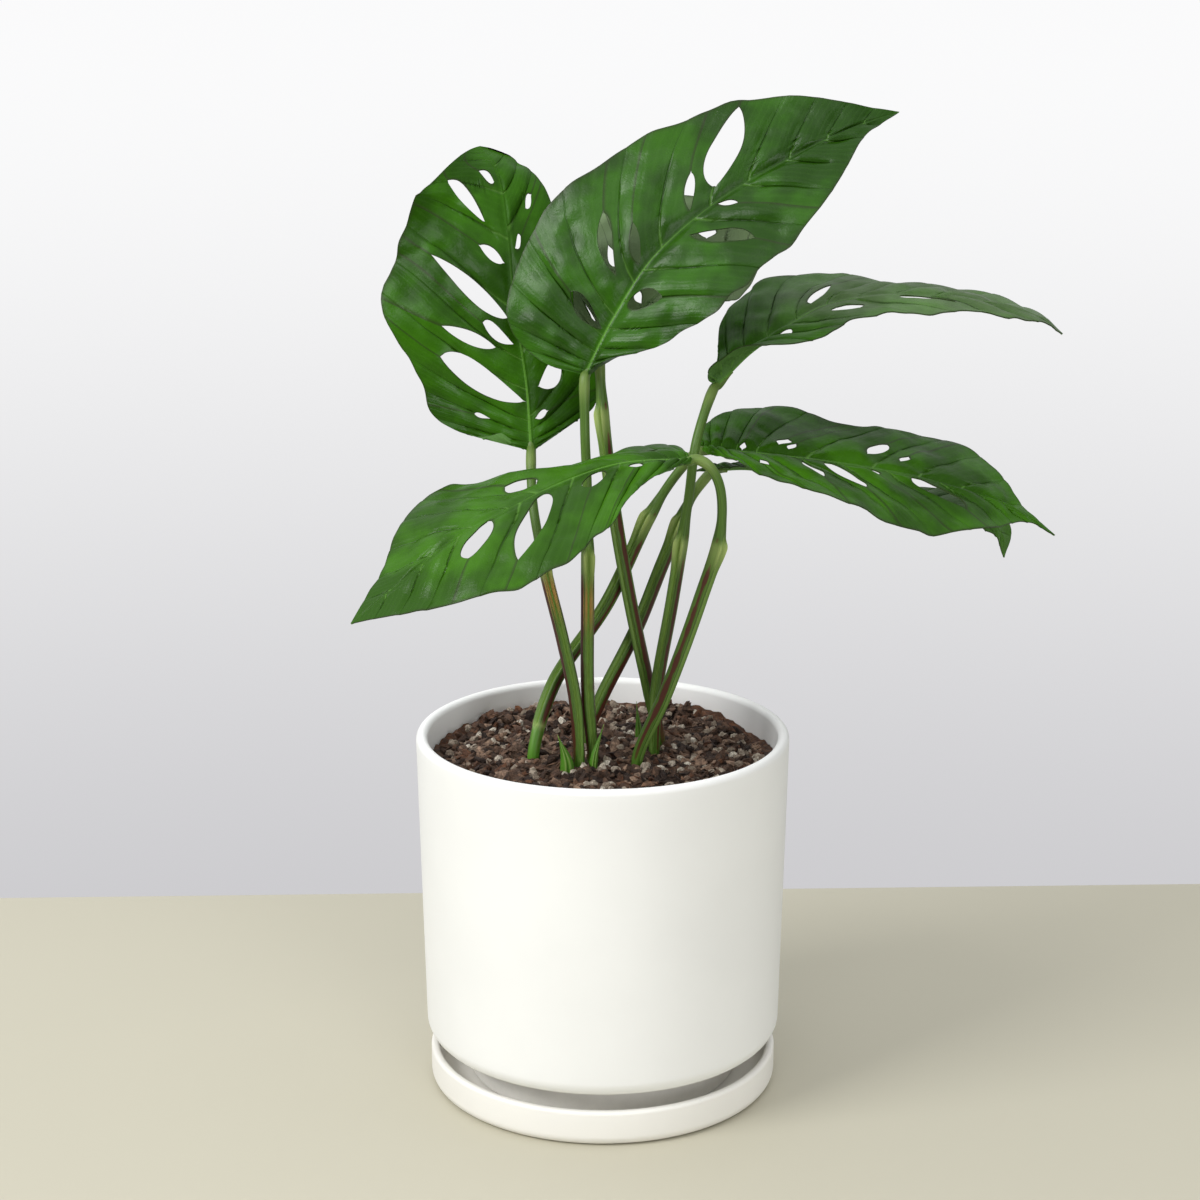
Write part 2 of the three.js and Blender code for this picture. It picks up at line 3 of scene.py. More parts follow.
import bpy
import numpy as np
from bpy.props import FloatProperty, FloatVectorProperty, IntProperty, PointerProperty
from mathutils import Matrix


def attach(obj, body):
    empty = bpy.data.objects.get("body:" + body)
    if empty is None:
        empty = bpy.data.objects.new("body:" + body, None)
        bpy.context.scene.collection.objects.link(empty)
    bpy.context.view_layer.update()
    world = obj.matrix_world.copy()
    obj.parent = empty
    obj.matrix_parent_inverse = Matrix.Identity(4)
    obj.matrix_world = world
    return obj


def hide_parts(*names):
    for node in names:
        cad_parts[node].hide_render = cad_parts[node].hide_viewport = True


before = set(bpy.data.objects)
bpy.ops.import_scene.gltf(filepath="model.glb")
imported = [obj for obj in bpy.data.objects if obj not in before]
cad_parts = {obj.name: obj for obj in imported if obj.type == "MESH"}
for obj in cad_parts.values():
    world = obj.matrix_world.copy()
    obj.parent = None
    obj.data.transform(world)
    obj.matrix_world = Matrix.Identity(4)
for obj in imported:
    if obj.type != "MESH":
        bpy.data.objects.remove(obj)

bl_info = {
    "name": "Potted swiss cheese vine",
    "version": (1, 0, 0),
    "blender": (4, 5, 0),
    "location": "View3D > Sidebar > Vine",
    "description": "Builds the leaves, stalks, soil and ceramics of a potted swiss cheese vine",
    "category": "Add Mesh",
}

# Shapes are worked out in millimetres and stored in metres
MM = 0.001
SEED = 11

# Sizes of the ceramics and of the soil, as in the solids
SAUCER = {"radius": 72, "height": 15, "wall": 3.6, "floor": 4.6, "base_round": 4.5, "rim_round": 1.5,
          "inner_round": 3}
POT = {"height": 150.5, "rim_radius": 76, "base_radius": 73.4, "wall": 4.7, "body_base": 21,
       "corner_round": 7, "floor": 6, "foot_radius": 55.5, "foot_wall": 6.5, "drain_radius": 7,
       "lift": 0.3}
SOIL = {"level": 138.5, "mound": 1.6, "heap": 4.5, "clearance": 0.3}

# What is strewn on the soil: the least and greatest half-size along each axis, how uneven a piece is,
# how far it is tipped, how far it stays from the pot's wall, and the share of its half-height by which
# it is raised
CHIP = {"sizes": ((1.6, 4.6), (1.1, 2.6), (0.6, 1.4)), "jitter": 0.34, "tilt": 0.5, "margin": 6.0,
        "lift": 0.5}
GRAIN = {"sizes": ((1.3, 2.7), (1.2, 2.3), (1.0, 2.0)), "jitter": 0.22, "tilt": 0.8, "margin": 5.0,
         "lift": 0.6}

STALK = {"root_depth": 26, "collar": 5, "tip_radius": 1.9, "run_on": 9, "meets": 0.8, "under_rib": 0.9,
         "joint": 5}
BLADE = {"rib_half": 1.3, "rib_rows": 4, "wave": 1.2, "waves": 18, "sweep": 1.15, "hole_end": 0.7}

# Tones of the soil from dark to light, and single colours
PEAT = ((0.026, 0.012, 0.007), (0.13, 0.07, 0.042), (0.13, 0.07, 0.042))
BARK = ((0.026, 0.012, 0.007), (0.13, 0.07, 0.042), (0.34, 0.22, 0.15))
PUMICE = ((0.24, 0.18, 0.13), (0.5, 0.42, 0.33), (0.85, 0.78, 0.66))
RUST = (0.15, 0.05, 0.014)
# Painted light: a whiter glaze for the pot's inner wall, standing in for the light that falls there
PAINTED_LIGHT_WHITE = (0.97, 0.97, 0.96)
# A pale grey-green mixed into the leaves' colour as painted sheen
PAINTED_SHEEN_GREY = (0.24, 0.34, 0.17)

# The corners of the solids' box, which no leaf reaches beyond
BOX = ((-94.15, -88.9, 0), (188.15, 80.3, 403.5))

# The leaves. rib runs from base to tip, face is the way the upper side looks at either end, and lag
# sets how far the side veins sweep forward. broad is the half-width at which half of the curl is
# reached, and blunt widens a rounded tip. Each half has its outline as base points and then
# half-widths at even steps, its fold and curl in degrees, and its holes as vein, from, to, open and,
# where the hole leans across the veins, its drift in vein over the whole way out.
LEAVES = {
    "back_left": {
        "rib": [(-29, 22, 262), (-31, 30, 288), (-36, 40, 320), (-39, 54, 348), (-43, 68, 368),
                (-51, 80, 378.6)],
        "face": [(-0.15, -0.95, 0.3), (0.15, -0.6, 0.8)],
        "lag": 3.2,
        "broad": 48,
        "blunt": 14,
        "left": {
            "base": [(8, 9), (8, 24)],
            "widths": [44, 45, 56.5, 48, 38.5, 30, 0],
            "fold": [-6, -6, -4, 6],
            "curl": -16,
            "holes": [(0.4, 0.36, 0.52, 0.022, -0.06), (0.552, 0.02, 0.6, 0.094),
                      (0.634, 0.2, 0.58, 0.026, -0.09), (0.68, 0.05, 0.28, 0.03),
                      (0.72, 0.07, 0.73, 0.036), (0.801, 0.06, 0.31, 0.022),
                      (0.878, 0.24, 0.77, 0.036, 0.12), (0.928, 0.09, 0.33, 0.024, 0.08)],
        },
        "right": {
            "base": [(8, 8), (12, 20)],
            "widths": [28, 31, 28, 24, 19, 13, 0],
            "fold": [-6, -6, -8, -14],
            "curl": -16,
            "holes": [(0.46, 0.06, 0.22, 0.04, -0.12), (0.535, 0.15, 0.5, 0.065, -0.15),
                      (0.814, 0.12, 0.28, 0.02), (0.834, 0.52, 0.7, 0.026)],
        },
    },
    "top": {
        "rib": [(-7, -2, 297), (4, -1, 319), (20, 2, 343), (45, 8, 364), (73, 12, 380), (96, 15, 391),
                (116, 22, 397)],
        "face": [(-0.12, -0.93, 0.36), (-0.12, -0.93, 0.36)],
        "lag": 2.3,
        "broad": 52,
        "left": {
            "base": [(-3, 18), (3, 35)],
            "widths": [45, 47, 41, 34, 24.5, 10, 0],
            "fold": [8, 4, 4],
            "curl": -22,
            "holes": [(0.412, 0.03, 0.41, 0.052), (0.532, 0.17, 0.64, 0.03), (0.591, 0.05, 0.36, 0.022),
                      (0.69, 0.1, 0.46, 0.017, -0.03), (0.727, 0.17, 0.93, 0.05, -0.02)],
        },
        "right": {
            "base": [(14, 4), (18, 12)],
            "widths": [19, 35, 36, 33, 22, 6, 0],
            "fold": [22, 24, 16],
            "curl": -26,
            "holes": [(0.515, 0.05, 0.39, 0.056), (0.668, 0.15, 0.68, 0.034), (0.737, 0.02, 0.23, 0.013)],
        },
    },
    "right_upper": {
        "rib": [(45, 10, 291), (59, 14, 304), (75, 19, 314), (90, 24, 321), (111, 29, 324),
                (132, 34, 323), (155, 38, 320), (178, 42, 313), (188, 44, 306)],
        "face": [(0, -0.35, 0.94), (0, -0.3, 0.95)],
        "lag": 2.6,
        "broad": 34,
        "left": {
            "base": [(6, 6), (14, 14)],
            "widths": [27, 39, 36, 27, 23, 20, 0],
            "fold": [6, 2, -8, -12, -10],
            "curl": -10,
            "holes": [(0.645, 0.11, 0.46, 0.032)],
        },
        "right": {
            "base": [(-1, 6), (4, 12)],
            "widths": [20, 22, 22, 24, 20, 8, 0],
            "fold": [84, 14, 12, 10, 6],
            "curl": -6,
            "holes": [(0.488, 0.22, 0.4, 0.045), (0.656, 0.26, 0.48, 0.055), (0.791, 0.13, 0.66, 0.06)],
        },
    },
    "left_lower": {
        "rib": [(34, -28, 269), (8, -40, 270), (-14, -49, 265), (-33, -56, 257), (-55, -63, 246),
                (-76, -69, 230), (-94, -74, 216)],
        "face": [(-0.25, -0.35, 0.9), (-0.35, -0.45, 0.8)],
        "lag": 2.8,
        "broad": 36,
        "left": {
            "base": [(4, 4), (12, 8)],
            "widths": [15, 29, 37, 37, 31, 15, 0],
            "fold": [-2, -2, -2],
            "curl": -18,
            "holes": [(0.483, 0.05, 0.17, 0.05), (0.598, 0.05, 0.28, 0.06), (0.724, 0.07, 0.73, 0.068),
                      (0.822, 0.01, 0.54, 0.044)],
        },
        "right": {
            "base": [(-1, 12), (6, 19)],
            "widths": [17, 21, 36, 48, 32, 13, 0],
            "fold": [-2, -16, -8, 0, -2],
            "curl": -10,
            "holes": [(0.31, 0.4, 0.54, 0.05), (0.7, 0.19, 0.47, 0.056)],
        },
    },
    "right_lower": {
        "rib": [(39, 6, 266), (56, 9, 264), (77, 13, 261), (105, 18, 256), (131, 22, 250),
                (156, 25, 242), (172, 27, 234), (186, 29, 225)],
        "face": [(0, -0.4, 0.92), (0.1, -0.4, 0.9)],
        "lag": 2.4,
        "broad": 40,
        "left": {
            "base": [(-2, 8), (6, 18)],
            "widths": [30, 41, 29.5, 38.5, 33, 7, 0],
            "fold": [4, 2, 0],
            "curl": -12,
            "holes": [(0.442, 0.02, 0.1, 0.026), (0.543, 0.13, 0.29, 0.034), (0.571, 0.09, 0.22, 0.018),
                      (0.692, 0.21, 0.5, 0.026), (0.743, 0.2, 0.31, 0.014)],
        },
        "right": {
            "base": [(5, 5), (12, 14)],
            "widths": [24, 36, 39, 35, 22, 4, 0],
            "fold": [24, 20, 8, 2, 0],
            "curl": -14,
            "holes": [(0.434, 0.34, 0.46, 0.018), (0.566, 0.16, 0.52, 0.032, -0.1),
                      (0.628, 0.07, 0.54, 0.044, -0.04), (0.702, 0.08, 0.18, 0.02),
                      (0.772, 0.06, 0.7, 0.046)],
        },
    },
    "behind_top": {
        "rib": [(-1, 12, 302), (8, 15, 313), (23, 20, 327), (42, 28, 340), (67, 38, 345)],
        "face": [(-0.05, -0.93, 0.36), (-0.05, -0.93, 0.36)],
        "lag": 2.3,
        "broad": 38,
        "left": {
            "base": [(0, 6), (4, 12)],
            "widths": [20, 30, 40, 42, 34, 18, 0],
            "fold": [4, 2, 0],
            "curl": -20,
            "holes": [(0.43, 0.32, 0.68, 0.022), (0.64, 0.46, 0.66, 0.03), (0.67, 0.03, 0.14, 0.03),
                      (0.88, 0.32, 0.58, 0.036)],
        },
        "right": {
            "base": [(3, 2), (7, 3)],
            "widths": [4, 6, 10, 15, 20, 19, 0],
            "fold": [4, 2, 0],
            "curl": -20,
            "holes": [(0.55, 0.05, 0.6, 0.05)],
        },
    },
    "under_right": {
        "rib": [(44, 15, 256), (62, 34, 252), (84, 46, 244), (106, 52, 236), (130, 56, 231),
                (152, 59, 227), (167, 61, 220), (171, 63, 207)],
        "face": [(0, 0.3, 1), (0.3, -0.55, 0.7)],
        "lag": 2.3,
        "broad": 34,
        "left": {
            "base": [(0, 6), (5, 12)],
            "widths": [8, 11, 13, 18, 18, 13, 0],
            "fold": [4, 4, 0],
            "curl": -14,
            "holes": [(0.52, 0.15, 0.5, 0.04), (0.64, 0.2, 0.6, 0.034)],
        },
        "right": {
            "base": [(1, 4), (6, 8)],
            "widths": [6, 7, 8, 8, 6, 4, 0],
            "fold": [0, 0, 0],
            "curl": -14,
            "holes": [(0.56, 0.2, 0.6, 0.036)],
        },
    },
}

# How dark each leaf is, from 0 for the freshest green to 1 for the deepest, how far painted sheen greys
# it, how far painted sheen greys its far half more, and how strongly its upper side mirrors
LEAF_TONES = {
    "back_left": (0.5, 0.0, 0.0, 0.08),
    "top": (0.55, 0.0, 0.0, 0.2),
    "right_upper": (0.35, 0.0, 0.3, 0.1),
    "left_lower": (0.1, 0.0, 0.0, 0.16),
    "right_lower": (0.2, 0.0, 0.0, 0.1),
    "behind_top": (0.3, 1.0, 0.0, 0.16),
    "under_right": (0.2, 0.1, 0.0, 0.12),
}

# The stalks: path from the soil, radius of the sheathed part, share of the path at which the sheath
# ends, the side that the groove faces, how brown it is, and the height of a dry scar, if any. A stalk
# with a node is thick and fresh at its foot.
STALKS = {
    "back_left": {
        "path": [(-9.5, -15.5), (-11, -14, 167), (-16, -12, 192), (-23, -4, 219), (-28, 8, 243),
                 (-29, 21.3, 261.2)],
        "radius": 2.6, "sheath": 0.7, "channel": (0.3, -1, 0), "brown": 0.6, "scar": 210},
    "top": {
        "path": [(-4, -10.5), (-6, -11, 170), (-6, -10, 208), (-6, -7, 248), (-7, -5, 276),
                 (-7, -2.5, 296.6)],
        "radius": 2.7, "sheath": 0.61, "channel": (0.2, -1, 0), "brown": 0.9, "scar": 206},
    "right_upper": {
        "path": [(21, 0), (22, -1, 168), (28, -3, 206), (34, -5, 248), (37, -3, 271),
                 (44.6, 9.6, 290.4)],
        "radius": 2.6, "sheath": 0.64, "channel": (-0.6, -1, 0), "brown": 0.2},
    "left_lower": {
        "path": [(14, -14), (25, -16, 171), (38, -20, 210), (46, -24, 240), (45, -27, 259),
                 (40.4, -28, 266.8), (35.2, -28, 269.1)],
        "radius": 2.6, "sheath": 0.75, "channel": (1, -0.8, 0), "brown": 0.3},
    "right_lower": {
        "path": [(-28, -7), (-20, 2, 169), (2, 8, 202), (19.5, 9, 239), (30, 7, 256),
                 (38, 5.6, 265.1)],
        "radius": 2.8, "sheath": 0.795, "channel": (-0.8, -1, 0.4), "brown": 0.2, "node": 1.0},
    "behind_top": {
        "path": [(23.5, 8.5), (19, 7, 166), (12, 4, 200), (6, 2, 234), (1, 5, 270),
                 (-1, 11.5, 301.5)],
        "radius": 2.6, "sheath": 0.88, "channel": (-0.7, -1, 0), "brown": 0.7},
    "under_right": {
        "path": [(-7, 7), (-1, 9, 160), (14, 13, 190), (25, 15, 218), (36, 16, 244),
                 (43, 15.1, 253.8)],
        "radius": 2.8, "sheath": 0.84, "channel": (-0.6, -1, 0.3), "brown": 0.5},
}

SPROUTS = {
    "left": {"foot": (-14.5, -20), "tip": (-18, -21, 155), "radius": 2.8},
    "middle": {"foot": (-3.6, -17), "tip": (0.5, -16, 158), "radius": 1.7},
    "right": {"foot": (15, 20), "tip": (14, 21, 156), "radius": 1.6},
}

# The camera, fitted to the ellipses of the pot's rim and of the saucer. The table's far edge is at
# left_edge and right_edge where it is edge_reach to the left and right of the pot.
CAMERA = {"back": 0.99, "height": 0.472, "pitch": 15.08, "lens": 76.44, "sensor": 36.0,
          "shift": -0.00225}
TABLE = {"left_edge": 0.193, "right_edge": 0.212, "edge_reach": 0.3, "half_width": 3.0, "front": -0.85}

# The lights: place, the point that each looks at, and size
LIGHTS = {
    "key": ((-1.25, -0.8, 1.2), (0.02, 0, 0.15), 0.8),
    "front": ((0.0, -1.2, 1.25), (0.02, 0, 0.15), 0.9),
    "fill": ((0.7, -1.4, 0.34), (0.02, 0, 0.05), 0.6),
}


# Curves and surfaces

def unit(vectors):
    """Each vector divided by its length."""
    return vectors / np.linalg.norm(vectors, axis=-1, keepdims=True)


def smooth(value, low, high):
    """Rises from 0 at low to 1 at high along the cubic 3t^2 - 2t^3."""
    t = np.clip((value - low) / (high - low), 0, 1)
    return t * t * (3 - 2 * t)


def spline(points, share, ease=0.0):
    """Catmull-Rom curve: between two points runs the cubic whose end slopes follow their neighbours.
    ease 0 counts the points evenly and 0.5 by the root of their distance. Past both ends the points
    are carried on in a straight line."""
    points = np.asarray(points, float)
    points = points.reshape(len(points), -1)
    ends = 2 * points[[0, -1]] - points[[1, -2]]
    knots = np.concatenate([ends[:1], points, ends[1:]])
    place = np.asarray(share, float) * (len(points) - 1)
    first = np.clip(place.astype(int), 0, len(points) - 2)
    t = (place - first)[..., None]
    p0, p1, p2, p3 = (knots[first + i] for i in range(4))
    spans = [np.linalg.norm(b - a, axis=-1, keepdims=True) ** ease
             for a, b in ((p0, p1), (p1, p2), (p2, p3))]
    d0, d1, d2 = spans
    slope1 = ((p1 - p0) / d0 - (p2 - p0) / (d0 + d1) + (p2 - p1) / d1) * d1
    slope2 = ((p2 - p1) / d1 - (p3 - p1) / (d1 + d2) + (p3 - p2) / d2) * d1
    square = 3 * (p2 - p1) - 2 * slope1 - slope2
    cube = 2 * (p1 - p2) + slope1 + slope2
    return p1 + slope1 * t + square * t ** 2 + cube * t ** 3


def even_spline(points, share, ease):
    """The spline at even distances: shares of its length are looked up in its running length."""
    fine = np.linspace(0, 1, 400)
    steps = np.linalg.norm(np.diff(spline(points, fine, ease), axis=0), axis=1)
    run = np.concatenate([[0], np.cumsum(steps)])
    return spline(points, np.interp(share, run / run[-1], fine), ease)


def arc(centre, radius, start, stop, steps):
    """Points of a circular arc: centre plus radius times cosine and sine of evenly spaced angles."""
    angles = np.radians(np.linspace(start, stop, steps + 1))
    return np.column_stack([centre[0] + radius * np.cos(angles), centre[1] + radius * np.sin(angles)])


def grid_triangles(rows, columns, wrap_rows=False, wrap_columns=False):
    """Two triangles for every cell of a grid whose points are numbered row by row."""
    i, j = np.meshgrid(np.arange(rows - (not wrap_rows)), np.arange(columns - (not wrap_columns)),
                       indexing="ij")
    below, beside = (i + 1) % rows, (j + 1) % columns
    a, b = i * columns + j, i * columns + beside
    c, d = below * columns + beside, below * columns + j
    return np.concatenate([np.stack([a, b, c], -1).reshape(-1, 3), np.stack([a, c, d], -1).reshape(-1, 3)])


def merged(keys, triangles):
    """Points with equal keys become one. Returns the kept points, and the triangles that keep three
    different corners."""
    _, kept, numbers = np.unique(keys, axis=0, return_index=True, return_inverse=True)
    triangles = numbers.reshape(-1)[triangles]
    a, b, c = triangles.T
    return kept, triangles[(a != b) & (b != c) & (c != a)]


def point_normals(points, triangles):
    """The sum of the cross products of each point's triangles, brought to length 1."""
    a, b, c = (points[triangles[:, i]] for i in range(3))
    faces = np.cross(b - a, c - a)
    normals = np.zeros_like(points)
    for i in range(3):
        np.add.at(normals, triangles[:, i], faces)
    return normals / np.maximum(np.linalg.norm(normals, axis=1, keepdims=True), 1e-12)


def lathe(profile, sides, closed):
    """A profile of radius and height turned about Z. A closed profile is a ring, and an open one
    starts and ends on the axis."""
    angles = np.linspace(0, 2 * np.pi, sides, endpoint=False)
    radius, height = profile[:, 0], profile[:, 1]
    points = np.stack([np.outer(radius, np.cos(angles)), np.outer(radius, np.sin(angles)),
                       np.repeat(height[:, None], sides, 1)], -1).reshape(-1, 3)
    triangles = grid_triangles(len(profile), sides, closed, True)
    kept, triangles = merged(np.round(points, 5), triangles)
    return points[kept], triangles[:, ::-1]


def value_noise(x, y, cell, seed):
    """Random heights on a square lattice, blended smoothly between its four nearest points."""
    table = np.random.default_rng(seed).random((64, 64))
    u, v = np.asarray(x) / cell + 500, np.asarray(y) / cell + 500
    i, j = np.floor(u).astype(int), np.floor(v).astype(int)
    s, t = smooth(u - i, 0, 1), smooth(v - j, 0, 1)
    corner = [table[(i + a) % 64, (j + b) % 64] for a in (0, 1) for b in (0, 1)]
    return (corner[0] * (1 - t) + corner[1] * t) * (1 - s) + (corner[2] * (1 - t) + corner[3] * t) * s


def add_piece(name, points, triangles, material, node, values=None, uv=None, crease=None):
    """Puts a surface in millimetres into a new object, and ties it to the frame. values are numbers
    per point for the material, and edges that turn by more than crease degrees stay sharp."""
    mesh = bpy.data.meshes.new(name)
    mesh.from_pydata(points * MM, [], triangles)
    mesh.polygons.foreach_set("use_smooth", np.full(len(mesh.polygons), crease != 0))
    for title, numbers in (values or {}).items():
        layer = mesh.attributes.new(title, "FLOAT", "POINT")
        layer.data.foreach_set("value", numbers.astype(np.float32))
    if uv is not None:
        layer = mesh.uv_layers.new(name="veins")
        layer.data.foreach_set("uv", uv[triangles.reshape(-1)].astype(np.float32).reshape(-1))
    mesh.materials.append(material)
    mesh.update()
    if crease:
        mesh.set_sharp_from_angle(angle=math.radians(crease))
    if mesh.validate():
        raise RuntimeError(f"{name} has faulty faces")
    piece = bpy.data.objects.new(name, mesh)
    bpy.context.scene.collection.objects.link(piece)
    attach(piece, "root")
    if node:
        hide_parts(node)


# Shader nodes

def add(tree, kind, inputs=None, **settings):
    """Adds a node, with its settings, and links or fills its inputs."""
    node = tree.nodes.new(kind)
    for name, value in settings.items():
        setattr(node, name, value)
    for name, value in (inputs or {}).items():
        if isinstance(value, bpy.types.NodeSocket):
            tree.links.new(value, node.inputs[name])
        else:
            node.inputs[name].default_value = value
    return node


def calc(tree, operation, *values):
    """A math node on numbers or sockets."""
    return add(tree, "ShaderNodeMath", dict(enumerate(values)), operation=operation).outputs[0]


def times(tree, first, second):
    """The product of two numbers or sockets."""
    return calc(tree, "MULTIPLY", first, second)


def times_plus(tree, value, factor, base):
    """value times factor, plus base."""
    return calc(tree, "MULTIPLY_ADD", value, factor, base)


def scaled(colour, factor):
    """A colour with each part times factor."""
    return tuple(value * factor for value in colour)


def blended(first, second, share):
    """From the first colour at share 0 to the second at 1."""
    return tuple(a + (b - a) * share for a, b in zip(first, second))


def ramp(tree, value, low, high, start=0.0, stop=1.0):
    """Smoothly from start to stop as value goes from low to high."""
    inputs = {"Value": value, "From Min": low, "From Max": high, "To Min": start, "To Max": stop}
    return add(tree, "ShaderNodeMapRange", inputs, interpolation_type="SMOOTHSTEP").outputs[0]


def tint(tree, factor, first, second):
    """From the first colour at factor 0 to the second at 1."""
    colours = [value if isinstance(value, bpy.types.NodeSocket) else (*value, 1)
               for value in (first, second)]
    inputs = {0: factor, 6: colours[0], 7: colours[1]}
    return add(tree, "ShaderNodeMix", inputs, data_type="RGBA").outputs[2]


def noise(tree, scale, detail=3.0, roughness=0.5):
    """Noise in the object's own coordinates, per metre."""
    place = add(tree, "ShaderNodeTexCoord").outputs["Object"]
    inputs = {"Vector": place, "Scale": scale, "Detail": detail, "Roughness": roughness}
    return add(tree, "ShaderNodeTexNoise", inputs).outputs["Fac"]


def stored(tree, name):
    """A number that the mesh holds at each point."""
    return add(tree, "ShaderNodeAttribute", attribute_name=name).outputs["Fac"]


def node_group(name, inputs, outputs, fill):
    """A group with named number inputs and outputs, made once and kept by name. fill takes the tree and
    the input sockets, and returns the output sockets in order."""
    tree = bpy.data.node_groups.get(name)
    if tree is None:
        tree = bpy.data.node_groups.new(name, "ShaderNodeTree")
        for title, value in inputs.items():
            socket = tree.interface.new_socket(title, in_out="INPUT", socket_type="NodeSocketFloat")
            socket.default_value = value
        for title in outputs:
            tree.interface.new_socket(title, in_out="OUTPUT", socket_type="NodeSocketFloat")
        source = tree.nodes.new("NodeGroupInput")
        sink = tree.nodes.new("NodeGroupOutput")
        results = fill(tree, {title: source.outputs[title] for title in inputs})
        for title, result in zip(outputs, results):
            tree.links.new(result, sink.inputs[title])
    return tree


def use(tree, group, **values):
    """Places a group in a material with its own values."""
    node = add(tree, "ShaderNodeGroup", node_tree=group)
    for title, value in values.items():
        node.inputs[title].default_value = value
    return node.outputs


def mottle():
    """Soft patches: noise between two levels, as a mask, and finer noise as a height."""
    def fill(tree, inputs):
        patches = ramp(tree, noise(tree, inputs["Scale"]), inputs["Low"], inputs["High"])
        fine = noise(tree, times(tree, inputs["Scale"], 7.0), 4.0, 0.6)
        return patches, fine
    return node_group("Mottle", {"Scale": 40.0, "Low": 0.35, "High": 0.65}, ["Mask", "Grain"], fill)


def map_place(tree):
    """The two coordinates of a piece's map."""
    place = add(tree, "ShaderNodeUVMap", uv_map="veins").outputs[0]
    split = add(tree, "ShaderNodeSeparateXYZ", {0: place}).outputs
    return split[0], split[1]


def side_veins():
    """The side veins are at whole numbers of the first coordinate, and narrow and fade towards the
    margin, with finer veins between them. The second coordinate runs from midrib to margin, and Near
    fades with it."""
    def fill(tree, inputs):
        count, across = map_place(tree)
        distance = calc(tree, "PINGPONG", count, 0.5)
        reach = times(tree, inputs["Width"], times_plus(tree, across, -0.6, 1.0))
        fading = ramp(tree, across, 0.3, 1.0, 1.0, 0.25)
        vein = times(tree, ramp(tree, distance, 0.0, reach, 1.0, 0.0), fading)
        drift = times_plus(tree, noise(tree, 60.0), 1.2, times(tree, count, 5.0))
        between = ramp(tree, calc(tree, "PINGPONG", drift, 0.5), 0.0, 0.3, 1.0, 0.0)
        near = ramp(tree, across, 0.02, 0.4, 1.0, 0.0)
        return vein, between, near
    return node_group("Side veins", {"Width": 0.1}, ["Vein", "Between", "Near"], fill)


def new_material(name):
    """A material without any nodes yet."""
    material = bpy.data.materials.new(name)
    material.use_nodes = True
    material.node_tree.nodes.clear()
    return material


def finish_material(material, inputs, height, depth, strength):
    """The Principled surface of a material, with a bump of this depth in metres."""
    tree = material.node_tree
    bump = add(tree, "ShaderNodeBump", {"Height": height, "Distance": depth, "Strength": strength})
    surface = add(tree, "ShaderNodeBsdfPrincipled", {**inputs, "Normal": bump.outputs[0]})
    add(tree, "ShaderNodeOutputMaterial", {"Surface": surface.outputs[0]})
    return material


def leaf_material(name, look, depth, painted_sheen, far, sheen):
    """Leathery leaf green between a fresh and a deep tone, greyed as painted sheen over the whole blade
    and, by far, towards the tip. Painted shade darkens the creases along the side veins, which turn
    pale near the midrib. The margin is thin and dark, and the underside paler and duller."""
    pale, under = look.vein, look.underside
    material = new_material(name)
    tree = material.node_tree
    veins = use(tree, side_veins(), Width=0.055)
    patches = use(tree, mottle(), Scale=38.0, Low=0.4, High=0.6)
    fine = use(tree, mottle(), Scale=150.0, Low=0.3, High=0.7)
    # Painted sheen: the leaf's whole green is greyed towards a pale grey-green, and its darker patches are
    # lightened with it
    light = blended(blended(look.fresh, look.deep, depth), PAINTED_SHEEN_GREY, painted_sheen)
    shade = scaled(light, 0.5 + 0.3 * painted_sheen)
    body = tint(tree, patches["Mask"], shade, light)
    # Painted sheen: the blade is greyed further towards the tip, by far
    body = tint(tree, ramp(tree, stored(tree, "far"), 0.4, 0.75, 0.0, far), body, PAINTED_SHEEN_GREY)
    body = tint(tree, times(tree, fine["Mask"], 0.25), body, shade)
    body = tint(tree, times(tree, veins["Between"], 0.03), body, pale)
    # Painted shade: the sunken side veins are darkened in the colour, where shade falls in their creases
    body = tint(tree, times(tree, veins["Vein"], 0.75), body, scaled(shade, 0.4))
    near = times(tree, veins["Vein"], veins["Near"])
    body = tint(tree, times(tree, near, 0.6 - 0.35 * depth), body, pale)
    below = tint(tree, patches["Mask"], scaled(under, 0.8), under)
    below = tint(tree, times(tree, veins["Vein"], 0.5), below, pale)
    colour = tint(tree, stored(tree, "under"), body, below)
    colour = tint(tree, times(tree, stored(tree, "rib"), 0.85), colour, pale)
    colour = tint(tree, times(tree, stored(tree, "rim"), 0.75), colour, tuple(look.margin))
    dull = ramp(tree, stored(tree, "under"), 0.0, 1.0, look.gloss, 0.6)
    roughness = times_plus(tree, fine["Mask"], 0.12, calc(tree, "SUBTRACT", dull, 0.06))
    height = times_plus(tree, veins["Between"], -0.1, times(tree, veins["Vein"], -1.0))
    height = times_plus(tree, fine["Grain"], 0.25, height)
    height = times_plus(tree, patches["Grain"], 0.6, height)
    inputs = {"Base Color": colour, "Roughness": roughness, "Specular IOR Level": sheen}
    return finish_material(material, inputs, height, 0.0005, 0.6)


